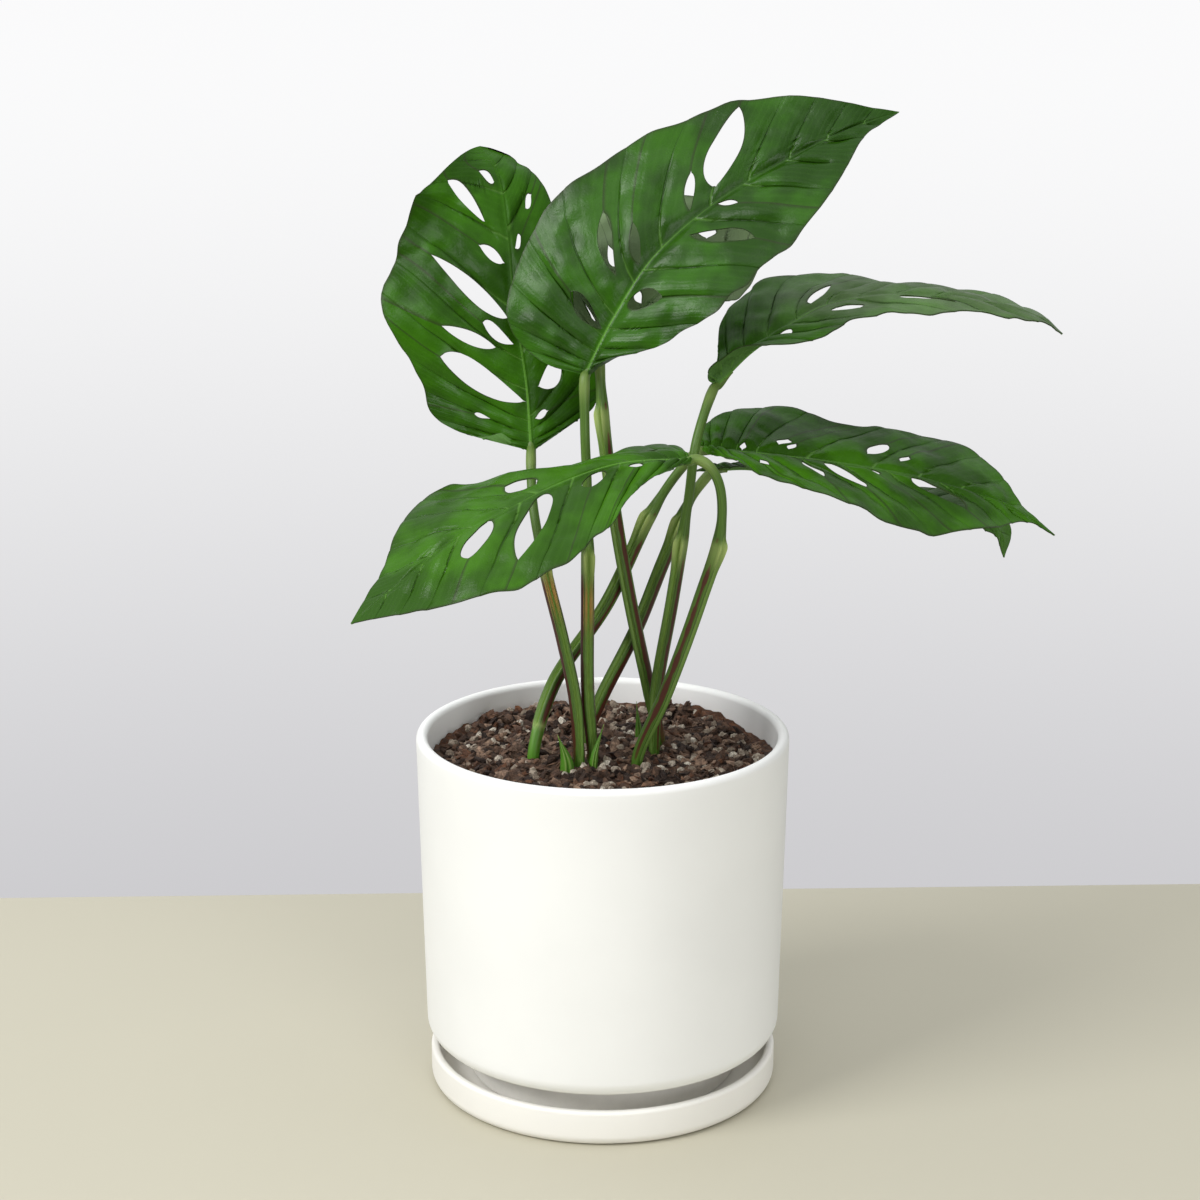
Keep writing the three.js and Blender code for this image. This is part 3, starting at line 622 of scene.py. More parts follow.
def stalk_material(look):
    """Green with fine strands along the stalk, a light stripe in the groove that is partly its paler skin
    and partly a painted highlight, red-brown edges, ochre scars, a pale sheath end and a fresh green foot."""
    material = new_material("stalk_skin")
    tree = material.node_tree
    patches = use(tree, mottle(), Scale=90.0, Low=0.4, High=0.62)
    around, along = map_place(tree)
    lines = add(tree, "ShaderNodeCombineXYZ", {0: times(tree, around, 26.0), 1: along}).outputs[0]
    inputs = {"Vector": lines, "Scale": 1.0, "Detail": 2.0}
    strands = add(tree, "ShaderNodeTexNoise", inputs).outputs["Fac"]
    colour = tint(tree, ramp(tree, strands, 0.3, 0.7), scaled(look.green, 0.45), look.green)
    # The groove's light stripe is partly a paler skin and partly a painted highlight
    colour = tint(tree, stored(tree, "channel"), colour, tuple(look.channel))
    ragged = times_plus(tree, calc(tree, "SUBTRACT", patches["Mask"], 0.5), 0.3, stored(tree, "wing"))
    colour = tint(tree, ramp(tree, ragged, 0.3, 0.55), colour, tuple(look.wing))
    patch = times(tree, stored(tree, "scar"), ramp(tree, strands, 0.35, 0.5))
    colour = tint(tree, patch, colour, tuple(look.scar))
    colour = tint(tree, stored(tree, "fresh"), colour, tuple(look.fresh))
    colour = tint(tree, stored(tree, "pale"), colour, tuple(look.pale))
    height = times_plus(tree, strands, 0.8, times(tree, patches["Grain"], 0.3))
    roughness = times_plus(tree, strands, 0.2, 0.36)
    inputs = {"Base Color": colour, "Roughness": roughness, "Specular IOR Level": 0.4}
    return finish_material(material, inputs, height, 0.0002, 0.5)


def ceramic_material(name, colour, bare, bare_top, sheen):
    """A matt white glaze with a fine grain, painted lighter where the stored value marks the pot's inner
    wall, as painted light, and bare clay below the height bare_top."""
    material = new_material(name)
    tree = material.node_tree
    patches = use(tree, mottle(), Scale=18.0, Low=0.3, High=0.7)
    place = add(tree, "ShaderNodeTexCoord").outputs["Object"]
    height = add(tree, "ShaderNodeSeparateXYZ", {0: place}).outputs[2]
    wander = times_plus(tree, noise(tree, 60.0), 0.0006, height)
    glazed = ramp(tree, wander, bare_top - 0.0002, bare_top + 0.0004)
    glaze = tint(tree, patches["Mask"], scaled(colour, 0.97), colour)
    # Painted light: the inner wall's glaze is whitened
    glaze = tint(tree, stored(tree, "lining"), glaze, PAINTED_LIGHT_WHITE)
    clay = tint(tree, patches["Grain"], scaled(bare, 0.82), bare)
    shade = tint(tree, glazed, clay, glaze)
    rough = ramp(tree, glazed, 0.0, 1.0, 0.88, sheen)
    roughness = times_plus(tree, patches["Grain"], 0.12, calc(tree, "SUBTRACT", rough, 0.06))
    return finish_material(material, {"Base Color": shade, "Roughness": roughness}, patches["Grain"],
                           0.00008, 0.35)


def earth_material(name, tones, grain, bump):
    """Crumbly matter: the point's own tone picks between three colours, rust turns it red-brown, and
    noise breaks it up."""
    material = new_material(name)
    tree = material.node_tree
    patches = use(tree, mottle(), Scale=grain, Low=0.36, High=0.62)
    tone = stored(tree, "tone")
    colour = tint(tree, ramp(tree, tone, 0.0, 0.55), tones[0], tones[1])
    colour = tint(tree, ramp(tree, tone, 0.6, 1.0), colour, tones[2])
    colour = tint(tree, stored(tree, "rust"), colour, RUST)
    colour = tint(tree, times(tree, patches["Mask"], 0.6), colour, scaled(tones[0], 0.5))
    height = calc(tree, "ADD", patches["Mask"], patches["Grain"])
    roughness = times_plus(tree, patches["Grain"], 0.2, 0.75)
    return finish_material(material, {"Base Color": colour, "Roughness": roughness}, height, bump, 0.8)


# Sizes and colours that a user may change

def length_property(name, description, default):
    """A length in metres."""
    return FloatProperty(name=name, description=description, default=default, min=0.0, unit="LENGTH",
                         precision=5)


def amount_property(name, description, default):
    """A number from 0 upwards."""
    return FloatProperty(name=name, description=description, default=default, min=0.0)


def count_property(name, description, default, low, high):
    """A whole number between two limits."""
    return IntProperty(name=name, description=description, default=default, min=low, max=high)


def colour_property(name, description, default):
    """A colour in linear light."""
    return FloatVectorProperty(name=name, description=description, default=default, size=3, min=0.0,
                               max=1.0, subtype="COLOR")


class VineCeramicSettings(bpy.types.PropertyGroup):
    """Look of the pot and of the saucer."""
    pot_colour: colour_property("Pot", "Glaze of the pot", (0.86, 0.865, 0.85))
    saucer_colour: colour_property("Saucer", "Glaze of the saucer", (0.85, 0.835, 0.79))
    clay_colour: colour_property("Clay", "Bare clay of the feet", (0.92, 0.9, 0.85))
    sides: count_property("Sides", "Steps round the pot", 224, 32, 512)


class VineSoilSettings(bpy.types.PropertyGroup):
    """What lies on the soil."""
    chips: count_property("Chips", "Bark chips on the soil", 1300, 0, 3000)
    grains: count_property("Grains", "Pumice grains on the soil", 210, 0, 1500)
    fibres: count_property("Fibres", "Fibres on the soil", 130, 0, 1000)
    relief: length_property("Relief", "Height of the lumps in the soil", 0.0026)


class VineLeafSettings(bpy.types.PropertyGroup):
    """Form and look of the leaves."""
    thickness: length_property("Thickness", "Thickness of a blade", 0.0005)
    relief: length_property("Relief", "How far the blade swells between its side veins", 0.0017)
    unevenness: length_property("Unevenness", "Height of the soft dents in the blade", 0.002)
    keel: length_property("Keel", "How far the midrib stands out below", 0.0011)
    gloss: FloatProperty(name="Roughness", description="Roughness of the upper side", default=0.33,
                         min=0.0, max=1.0, subtype="FACTOR")
    columns: count_property("Columns", "Steps from base to tip", 130, 20, 300)
    rows: count_property("Rows", "Steps from midrib to margin", 46, 10, 120)
    fresh: colour_property("Fresh", "Green of the youngest leaf", (0.046, 0.16, 0.004))
    deep: colour_property("Deep", "Green of the oldest leaf", (0.014, 0.07, 0.002))
    vein: colour_property("Vein", "Colour of the veins", (0.12, 0.3, 0.04))
    margin: colour_property("Margin", "Thin edge of the blades and holes", (0.022, 0.03, 0.01))
    underside: colour_property("Underside", "Green of the lower side", (0.085, 0.19, 0.045))


class VineStalkSettings(bpy.types.PropertyGroup):
    """Form and look of the stalks."""
    green: colour_property("Green", "Skin of the stalks", (0.09, 0.19, 0.02))
    fresh: colour_property("Fresh", "Foot of the stalks and the shoots", (0.08, 0.24, 0.015))
    pale: colour_property("Pale", "Ends of the sheaths", (0.36, 0.46, 0.14))
    wing: colour_property("Wing", "Edges of the stalks", (0.075, 0.018, 0.008))
    # Colour of the groove's stripe: partly a paler skin, partly a painted highlight
    channel: colour_property("Channel", "Stripe in the groove", (0.28, 0.44, 0.1))
    scar: colour_property("Scar", "Dry patches", (0.42, 0.24, 0.06))
    sides: count_property("Sides", "Steps round a stalk", 48, 12, 96)
    steps: count_property("Steps", "Steps along a stalk", 150, 20, 400)


class VineStageSettings(bpy.types.PropertyGroup):
    """Floor, backdrop and lights."""
    floor: colour_property("Floor", "Colour of the floor", (0.51, 0.484, 0.385))
    key: amount_property("Key", "Power of the main light in watts", 23.0)
    front: amount_property("Front", "Power of the high front light in watts", 4.0)
    fill: amount_property("Fill", "Power of the low front light in watts", 6.0)
    ambient: amount_property("Ambient", "Strength of the light from all round", 0.52)


# Ceramics

def pot_profile():
    """Radius and height round the pot's wall: under the floor, the foot ring, the outside with its
    rounded corner, the rim's half circle, and down the inside to the drain hole."""
    lift = SAUCER["floor"] + POT["lift"]
    inner_base = POT["base_radius"] - POT["wall"]
    inner_floor = POT["body_base"] + POT["floor"]
    foot_inside = POT["foot_radius"] - POT["foot_wall"]
    corner, rim = POT["corner_round"], POT["wall"] / 2
    foot_round = 1.0
    return np.concatenate([
        [(POT["drain_radius"], POT["body_base"]), (foot_inside, POT["body_base"])],
        arc((foot_inside + foot_round, lift + foot_round), foot_round, 180, 270, 5),
        arc((POT["foot_radius"] - foot_round, lift + foot_round), foot_round, -90, 0, 5),
        [(POT["foot_radius"], POT["body_base"] - 0.5), (POT["foot_radius"] + 0.5, POT["body_base"])],
        arc((POT["base_radius"] - corner, POT["body_base"] + corner), corner, -90, 0, 12),
        spline([(POT["base_radius"], POT["body_base"] + corner), (POT["rim_radius"], POT["height"] - rim)],
               np.linspace(0.03, 0.97, 24)),
        arc((POT["rim_radius"] - rim, POT["height"] - rim), rim, 0, 180, 16),
        spline([(POT["rim_radius"] - 2 * rim, POT["height"] - rim), (inner_base, inner_floor + corner)],
               np.linspace(0.03, 0.97, 12)),
        arc((inner_base - corner, inner_floor + corner), corner, 0, -90, 8),
        [(POT["drain_radius"], inner_floor)],
    ])


def saucer_profile():
    """Radius and height from the axis under the saucer, round its wall and back to the axis."""
    radius, inside = SAUCER["radius"], SAUCER["radius"] - SAUCER["wall"]
    base, rim, corner = SAUCER["base_round"], SAUCER["rim_round"], SAUCER["inner_round"]
    return np.concatenate([
        [(0, 0)],
        arc((radius - base, base), base, -90, 0, 12),
        arc((radius - rim, SAUCER["height"] - rim), rim, 0, 90, 8),
        arc((inside + rim, SAUCER["height"] - rim), rim, 90, 180, 8),
        arc((inside - corner, SAUCER["floor"] + corner), corner, 0, -90, 8),
        [(0, SAUCER["floor"])],
    ])


class VINE_OT_ceramics(bpy.types.Operator):
    """Turns the pot and the saucer"""
    bl_idname = "vine.ceramics"
    bl_label = "Add pot and saucer"

    def execute(self, context):
        look = context.scene.vine_ceramics
        clay = tuple(look.clay_colour)
        glaze = ceramic_material("pot_glaze", tuple(look.pot_colour), clay,
                                 (POT["body_base"] + 0.4) * MM, 0.5)
        points, triangles = lathe(pot_profile(), look.sides, True)
        # Painted light: marks the pot's inner wall, whose glaze is painted whiter
        depth = pot_inside(points[:, 2]) + POT["wall"] - np.hypot(points[:, 0], points[:, 1])
        lining = smooth(depth, 0.5, 2.0) * (points[:, 2] > POT["body_base"] + 2)
        add_piece("pot_shell", points, triangles, glaze, "pot", {"lining": lining}, crease=50)
        glaze = ceramic_material("saucer_glaze", tuple(look.saucer_colour), clay, 1.4 * MM, 0.55)
        points, triangles = lathe(saucer_profile(), look.sides, False)
        add_piece("saucer_dish", points, triangles, glaze, "saucer", crease=50)
        return {"FINISHED"}


# Soil

def pot_inside(height):
    """The pot's inner radius, which grows evenly with height above the inner corner."""
    low = POT["body_base"] + POT["floor"] + POT["corner_round"]
    share = (height - low) / (POT["height"] - POT["wall"] / 2 - low)
    return POT["base_radius"] + (POT["rim_radius"] - POT["base_radius"]) * share - POT["wall"]


def soil_height(x, y, relief):
    """A low mound with three sizes of noise on it, heaped up a little along the back of the pot."""
    limit = pot_inside(SOIL["level"])
    share = np.hypot(x, y) / limit
    lumps = (value_noise(x, y, 9.0, 1) - 0.5) * 0.5 + (value_noise(x, y, 3.6, 2) - 0.5) * 0.6 \
        + (value_noise(x, y, 1.5, 3) - 0.5) * 0.35
    heap = smooth(share, 0.7, 0.95) * smooth(y / limit, 0.2, 0.75) * value_noise(x, y, 11.0, 4)
    return SOIL["level"] + SOIL["mound"] * (1 - share ** 2) + SOIL["heap"] * heap + relief * lumps


def soil_body(relief):
    """A solid of revolution under a polar grid whose heights are the soil's."""
    sides, rings = 300, 100
    bottom = POT["body_base"] + POT["floor"] + SOIL["clearance"]
    side = POT["base_radius"] - POT["wall"] - SOIL["clearance"]
    corner = POT["corner_round"]
    top = pot_inside(SOIL["level"]) - SOIL["clearance"]
    radii = top * np.linspace(1, 0, rings) ** 0.8
    profile = np.concatenate([
        [(0, bottom)],
        arc((side - corner, bottom + corner), corner, -90, 0, 8),
        np.column_stack([radii, np.full(rings, SOIL["level"])]),
    ])
    points, triangles = lathe(profile, sides, False)
    upper = points[:, 2] > SOIL["level"] - 0.5
    points[upper, 2] = soil_height(points[upper, 0], points[upper, 1], relief)
    return points, triangles


def pebble():
    """A rounded body on a small grid of latitude and longitude, merged at its poles."""
    rows, sides = 5, 8
    polar = np.linspace(0, np.pi, rows + 1)[:, None]
    turn = np.linspace(0, 2 * np.pi, sides, endpoint=False)[None, :]
    points = np.stack([np.sin(polar) * np.cos(turn), np.sin(polar) * np.sin(turn),
                       np.cos(polar) * np.ones_like(turn)], -1).reshape(-1, 3)
    triangles = grid_triangles(rows + 1, sides, False, True)
    kept, triangles = merged(np.round(points, 5), triangles)
    return points[kept], triangles[:, ::-1]


def turns(rng, count, tilt):
    """Rotation matrices: a turn about Z by any angle, times tips about X and Y of spread tilt."""
    spin = rng.uniform(0, 2 * np.pi, count)
    tips = rng.normal(0, tilt, (2, count))

    def about(axis, angle):
        """Cosines for the two other axes, and plus and minus the sine between them."""
        first, second = (axis + 1) % 3, (axis + 2) % 3
        matrix = np.zeros((count, 3, 3))
        matrix[:, axis, axis] = 1
        matrix[:, first, first] = np.cos(angle)
        matrix[:, second, second] = np.cos(angle)
        matrix[:, second, first] = np.sin(angle)
        matrix[:, first, second] = -np.sin(angle)
        return matrix

    return about(0, tips[0]) @ about(1, tips[1]) @ about(2, spin)


def spread(rng, count, margin):
    """Random places on the soil, clear of the pot's wall and of the stalks, denser in no direction."""
    feet = np.array([stalk["path"][0] for stalk in STALKS.values()] + [s["foot"] for s in SPROUTS.values()])
    limit = pot_inside(SOIL["level"]) - margin
    radius, turn = limit * np.sqrt(rng.random(count * 2)), rng.uniform(0, 2 * np.pi, count * 2)
    places = np.column_stack([radius * np.cos(turn), radius * np.sin(turn)])
    away = np.linalg.norm(places[:, None] - feet[None], axis=-1).min(1)
    return places[away > 4.2][:count]


def scatter(rng, count, kind, relief):
    """Many copies of the pebble in one mesh: each is jittered, stretched to its size, turned, and set on
    the soil. Returns points, triangles and a random tone for each copy's points."""
    shape, triangles = pebble()
    places = spread(rng, count, kind["margin"])
    count = len(places)
    scales = np.stack([rng.uniform(low, high, count) for low, high in kind["sizes"]], -1)
    rough = 1 + rng.uniform(-kind["jitter"], kind["jitter"], (count, len(shape), 1))
    local = shape[None] * rough * scales[:, None, :]
    local = np.einsum("nij,nvj->nvi", turns(rng, count, kind["tilt"]), local)
    ground = soil_height(places[:, 0], places[:, 1], relief) + kind["lift"] * scales[:, 2]
    points = local + np.column_stack([places, ground])[:, None, :]
    offsets = (np.arange(count) * len(shape))[:, None, None]
    tones = np.repeat(rng.random(count), len(shape))
    return points.reshape(-1, 3), (triangles[None] + offsets).reshape(-1, 3), tones


def fibres(rng, count, relief):
    """Thin bent strands: a parabola of random length and bow on the soil, swept with a small hexagon."""
    steps, sides = 9, 6
    places = spread(rng, count, 9.0)
    count = len(places)
    turn = rng.uniform(0, 2 * np.pi, count)
    reach, bow = rng.uniform(3.5, 9.0, count), rng.uniform(-2.6, 2.6, count)
    along = np.linspace(-1, 1, steps)
    x = places[:, :1] + np.outer(reach * np.cos(turn), along) - np.outer(bow * np.sin(turn), along ** 2)
    y = places[:, 1:] + np.outer(reach * np.sin(turn), along) + np.outer(bow * np.cos(turn), along ** 2)
    limit = pot_inside(SOIL["level"]) - 1.5
    pull = np.minimum(1, limit / np.maximum(np.hypot(x, y), 1e-6))
    x, y = x * pull, y * pull
    rise = rng.uniform(0.5, 1.6, (count, 1)) * (1 - along[None] ** 2 * 0.7)
    centre = np.stack([x, y, soil_height(x, y, relief) + rise], -1)
    forward = unit(np.gradient(centre, axis=1))
    beside = unit(np.cross(forward, np.array([0.0, 0.0, 1.0])))
    above = np.cross(beside, forward)
    angle = np.linspace(0, 2 * np.pi, sides, endpoint=False)
    thick = rng.uniform(0.14, 0.34, (count, 1)) * (1 - 0.75 * along[None] ** 4)
    ring = beside[:, :, None] * np.cos(angle)[None, None, :, None] \
        + above[:, :, None] * np.sin(angle)[None, None, :, None]
    points = centre[:, :, None] + ring * thick[:, :, None, None]
    body = grid_triangles(steps, sides, False, True)
    start = np.array([(0, i + 1, i) for i in range(1, sides - 1)])
    last = (steps - 1) * sides
    stop = np.array([(last, last + i, last + i + 1) for i in range(1, sides - 1)])
    shape = np.concatenate([body[:, ::-1], start[:, ::-1], stop[:, ::-1]])
    offsets = (np.arange(count) * steps * sides)[:, None, None]
    tones = np.repeat(rng.random(count), steps * sides)
    return points.reshape(-1, 3), (shape[None] + offsets).reshape(-1, 3), tones


def rusty(points, speckle):
    """How red-brown the soil is: a share of single pieces, and most of a strip along the back."""
    share = np.hypot(points[:, 0], points[:, 1]) / pot_inside(SOIL["level"])
    strip = smooth(share, 0.86, 0.95) * smooth(points[:, 1], 0.0, 30.0)
    return np.clip(0.6 * speckle + 0.75 * strip, 0, 1)


class VINE_OT_soil(bpy.types.Operator):
    """Fills the pot, and strews chips, grains and fibres over the soil"""
    bl_idname = "vine.soil"
    bl_label = "Add soil"

    def execute(self, context):
        look = context.scene.vine_soil
        relief = look.relief / MM
        rng = np.random.default_rng(SEED)
        peat = earth_material("peat", PEAT, 380.0, 0.0006)
        bark = earth_material("bark", BARK, 520.0, 0.0004)
        stone = earth_material("pumice", PUMICE, 900.0, 0.0004)
        points, triangles = soil_body(relief)
        tone = value_noise(points[:, 0], points[:, 1], 2.2, 5) * 0.6
        add_piece("soil_bed", points, triangles, peat, "soil",
                  {"tone": tone, "rust": rusty(points, 0.0)}, crease=60)
        points, triangles, tone = scatter(rng, look.chips, CHIP, relief)
        speckle = smooth(np.modf(tone * 37)[0], 0.86, 0.9)
        add_piece("bark_chips", points, triangles, bark, None,
                  {"tone": tone ** 1.3, "rust": rusty(points, speckle)}, crease=0)
        points, triangles, tone = scatter(rng, look.grains, GRAIN, relief)
        add_piece("pumice_grains", points, triangles, stone, None,
                  {"tone": tone, "rust": 0 * tone}, crease=0)
        points, triangles, tone = fibres(rng, look.fibres, relief)
        add_piece("soil_fibres", points, triangles, bark, None,
                  {"tone": tone, "rust": 0.4 * tone}, crease=70)
        return {"FINISHED"}


# Stalks and shoots

def rooted_path(foot, depth, further):
    """Upright through the soil, and then on through the further points."""
    upright = [(*foot, SOIL["level"] + rise) for rise in (-depth, -STALK["collar"], STALK["collar"])]
    return upright + list(further)


def swept(centre, groove, across, reach, sides):
    """A closed tube: about each point of the centre line lies a ring, reach away in the directions
    that turn from groove to across. Its two ends are closed by fans about their middles."""
    steps = len(centre)
    angle = np.linspace(0, 2 * np.pi, sides, endpoint=False)
    ring = groove[:, None] * np.cos(angle)[None, :, None] + across[:, None] * np.sin(angle)[None, :, None]
    points = (centre[:, None] + ring * reach[..., None]).reshape(-1, 3)
    points = np.concatenate([points, centre[[0, -1]]])
    body = grid_triangles(steps, sides, False, True)
    near = np.arange(sides)
    beside = (near + 1) % sides
    last = (steps - 1) * sides
    start = np.column_stack([np.full(sides, steps * sides), beside, near])
    stop = np.column_stack([np.full(sides, steps * sides + 1), last + near, last + beside])
    return points, np.concatenate([body, start, stop])


def tube_frame(centre, facing, sides):
    """At every point of a centre line the directions to the groove, which faces a given way, and across
    it, and for every side of the tube its turn from the groove in degrees."""
    forward = unit(np.gradient(centre, axis=0))
    across = unit(np.cross(forward, np.array(facing, float)))
    angle = np.linspace(0, 2 * np.pi, sides, endpoint=False)
    turn = np.degrees(np.minimum(angle, 2 * np.pi - angle))[None]
    return np.cross(across, forward), across, turn


def skin_layers(tones, share, turn, stretch):
    """The tones at every point of a tube and at the middles of its ends, and its map: 1 at the groove
    and 0 opposite it, by the share of the way along times stretch."""
    shape = (len(share), turn.size)
    values = {name: np.append(np.broadcast_to(tone, shape), [0, 0]) for name, tone in tones.items()}
    place = np.stack(np.broadcast_arrays(1 - turn / 180, share[:, None] * stretch), -1).reshape(-1, 2)
    return values, np.concatenate([place, [(0, 0), (0, stretch)]])


def stalk_surface(stalk, leaf, look):
    """A channelled stem: the radius about the centre line dips in the groove and rises in a wing on
    either side of it, up to the sheath's end, and is round beyond. It runs on under the midrib."""
    rib = np.array(leaf["rib"], float)
    run_on = unit(rib[1] - rib[0])
    upward = unit(np.array(leaf["face"][0], float))
    base, end = (tuple(rib[0] + run_on * distance - upward * STALK["under_rib"])
                 for distance in (STALK["meets"], STALK["run_on"]))
    path = rooted_path(stalk["path"][0], STALK["root_depth"], [*stalk["path"][1:], base, end])
    share = np.linspace(0, 1, look.steps)
    centre = even_spline(path, share, 0.5)
    groove, across, turn = tube_frame(centre, stalk["channel"], look.sides)
    dip = np.exp(-(turn / 17) ** 2)
    wing = np.exp(-((turn - 30) / 16) ** 2)
    edge = np.exp(-((turn - 70) / 19) ** 2)
    length = np.linalg.norm(np.diff(centre, axis=0), axis=1).sum()
    stop = stalk["sheath"] * (length - STALK["run_on"]) / length
    above = smooth(centre[:, 2], SOIL["level"], SOIL["level"] + 8)
    sheathed = (above * (1 - smooth(share, stop, stop + 0.035)))[:, None]
    flare = (smooth(share, stop - 0.07, stop) * (1 - smooth(share, stop, stop + 0.02)))[:, None]
    slim = smooth(share, stop, stop + 0.07)[:, None]
    bend = 1 - (STALK["run_on"] + STALK["joint"]) / length
    joint = np.exp(-((share - bend) * length / STALK["joint"]) ** 2)[:, None]
    radius = stalk["radius"] + (STALK["tip_radius"] - stalk["radius"]) * slim + 0.22 * joint
    thin = 1 - 0.62 * smooth(share, 1 - STALK["run_on"] / length, 1)[:, None]
    rise = centre[:, 2:] - SOIL["level"]
    node = stalk.get("node", 0.0) * (1 - smooth(rise, 12, 17))
    foot = 1 - 0.14 * (1 - smooth(rise, 4, 26))
    folds = sheathed * (0.2 * wing - 0.55 * dip) * (1 - node) + 0.4 * flare * wing
    reach = radius * thin * foot * (1 + folds)
    points, triangles = swept(centre, groove, across, reach, look.sides)
    ring = np.exp(-((rise - 15) / 1.2) ** 2) * (stalk.get("node", 0.0) > 0)
    low = 1 - smooth(rise, 20, 90)
    brown = stalk["brown"] * (0.55 + 0.45 * low)
    back = 0.5 * stalk["brown"] * low * smooth(turn, 60, 110)
    tones = {
        "wing": np.clip(sheathed * edge * (0.6 + brown) + back + 0.25 * brown * sheathed, 0, 1) * (1 - flare),
        # The groove's stripe, partly a painted highlight
        "channel": sheathed * (1 - 0.5 * node) * dip,
        "pale": np.clip(flare * (0.4 + 0.6 * wing) + 0.3 * joint + 0.45 * (1 - thin) + 0.5 * ring, 0, 1),
        "fresh": np.clip(0.65 * node + 0.25 * (1 - smooth(rise, 0, 14)), 0, 1),
        "scar": np.exp(-((centre[:, 2:] - stalk.get("scar", 0.0)) / 8) ** 2) * (turn < 52) * (turn > 14),
    }
    return points, triangles, *skin_layers(tones, share, turn, 3)


def sprout_surface(sprout, look):
    """A pointed shoot: rings about a bent line that shrink to the tip, wrapped by one overlapping edge."""
    path = rooted_path(sprout["foot"], 13, [sprout["tip"]])
    share = np.linspace(0, 1, 70)
    centre = even_spline(path, share, 0.5)
    groove, across, turn = tube_frame(centre, (0.2, -1.0, 0.0), look.sides)
    taper = smooth(centre[:, 2], SOIL["level"] + 2, sprout["tip"][2])
    wrap = 1 + 0.12 * np.exp(-((turn - 20) / 10) ** 2) - 0.2 * np.exp(-(turn / 8) ** 2)
    reach = (sprout["radius"] * (1 - 0.94 * taper))[:, None] * wrap
    points, triangles = swept(centre, groove, across, reach, look.sides)
    tip = np.exp(-((share - 1) / 0.04) ** 2)[:, None]
    seam = 0.5 * np.exp(-((turn - 20) / 7) ** 2)
    tones = {"wing": 0.0, "channel": 0.0, "scar": 0.0, "fresh": 0.85 - 0.5 * seam,
             "pale": np.clip(0.6 * tip + seam, 0, 1)}
    return points, triangles, *skin_layers(tones, share, turn, 1)


class VINE_OT_stalks(bpy.types.Operator):
    """Grows the leaf stalks and the young shoots"""
    bl_idname = "vine.stalks"
    bl_label = "Add stalks and shoots"

    def execute(self, context):
        look = context.scene.vine_stalks
        skin = stalk_material(look)
        for name, stalk in STALKS.items():
            points, triangles, values, uv = stalk_surface(stalk, LEAVES[name], look)
            add_piece(f"stem_{name}", points, triangles, skin, f"stalk_{name}", values, uv, 60)
        for name, sprout in SPROUTS.items():
            points, triangles, values, uv = sprout_surface(sprout, look)
            add_piece(f"shoot_{name}", points, triangles, skin, f"sprout_{name}", values, uv, 60)
        return {"FINISHED"}


# Leaves

def rib_length(leaf):
    """The sum of the distances between close points of the midrib."""
    places = spline(leaf["rib"], np.linspace(0, 1, 201))
    return np.linalg.norm(np.diff(places, axis=0), axis=1).sum()


def bent(leaf, half, side, along, across):
    """The place of a point of the flattened leaf: the midrib at that distance, plus the way across
    turned up by fold and curl, plus a wave that grows with the square of the way across."""
    length = rib_length(leaf)
    share = np.clip(along / length, 0, 1)
    ahead, behind = (spline(leaf["rib"], np.clip(share + step, 0, 1)) for step in (1e-3, -1e-3))
    forward = unit(ahead - behind)
    origin = spline(leaf["rib"], share) + forward * (along - share * length)[..., None]
    first, last = (np.array(face, float) for face in leaf["face"])
    upward = first + (last - first) * share[..., None]
    upward = unit(upward - forward * (upward * forward).sum(-1, keepdims=True))
    left = np.cross(upward, forward)
    angle = np.radians(spline(half["fold"], share)[..., 0] + half["curl"] * across / (2 * leaf["broad"]))
    ripple = np.sin(BLADE["waves"] * share + (0 if side > 0 else np.pi / 2))
    wave = BLADE["wave"] * (across / leaf["broad"]) ** 2 * ripple
    return origin + left * (side * across * np.cos(angle))[..., None] \
        + upward * (across * np.sin(angle) + wave)[..., None]


def line_place(holes, line, share):
    """Where a vein line lies on the way out: it drifts evenly by its hole's lean, about its middle."""
    for vein, start, stop, _, *lean in holes:
        if vein == line and lean:
            return line + lean[0] * (share - (start + stop) / 2)
    return line + 0 * share


def hole_opening(holes, line, share):
    """Half the opening of the hole on a vein line: a sine arch from its start to its end, whose highest
    place is moved to one side or the other, so that every hole is a drop of its own."""
    total = np.zeros_like(share)
    for vein, start, stop, width, *_ in holes:
        if vein == line:
            run = np.clip((share - start) / (stop - start), 0, 1)
            run = run + 0.5 * np.sin(90 * vein) * run * (1 - run)
            total += width / 2 * np.sin(np.pi * run) ** BLADE["hole_end"]
    return total


def vein_places(half):
    """Where the side veins are: midway between neighbouring holes, and evenly spaced beyond them."""
    lines = [0.0]
    for line in sorted(hole[0] for hole in half["holes"]):
        if line - lines[-1] > 0.04:
            lines.append(line)
    middles = [(a + b) / 2 for a, b in zip(lines[1:], lines[2:])]
    first = middles[0] - 0.075 if middles else lines[1] - 0.04
    last = lines[-1] + 0.04
    near = np.linspace(0, first, max(2, round(first / 0.085)) + 1)
    far = np.linspace(last, 1, max(2, round((1 - last) / 0.05)) + 1)
    return np.unique(np.round(np.concatenate([near, middles, far]), 4))


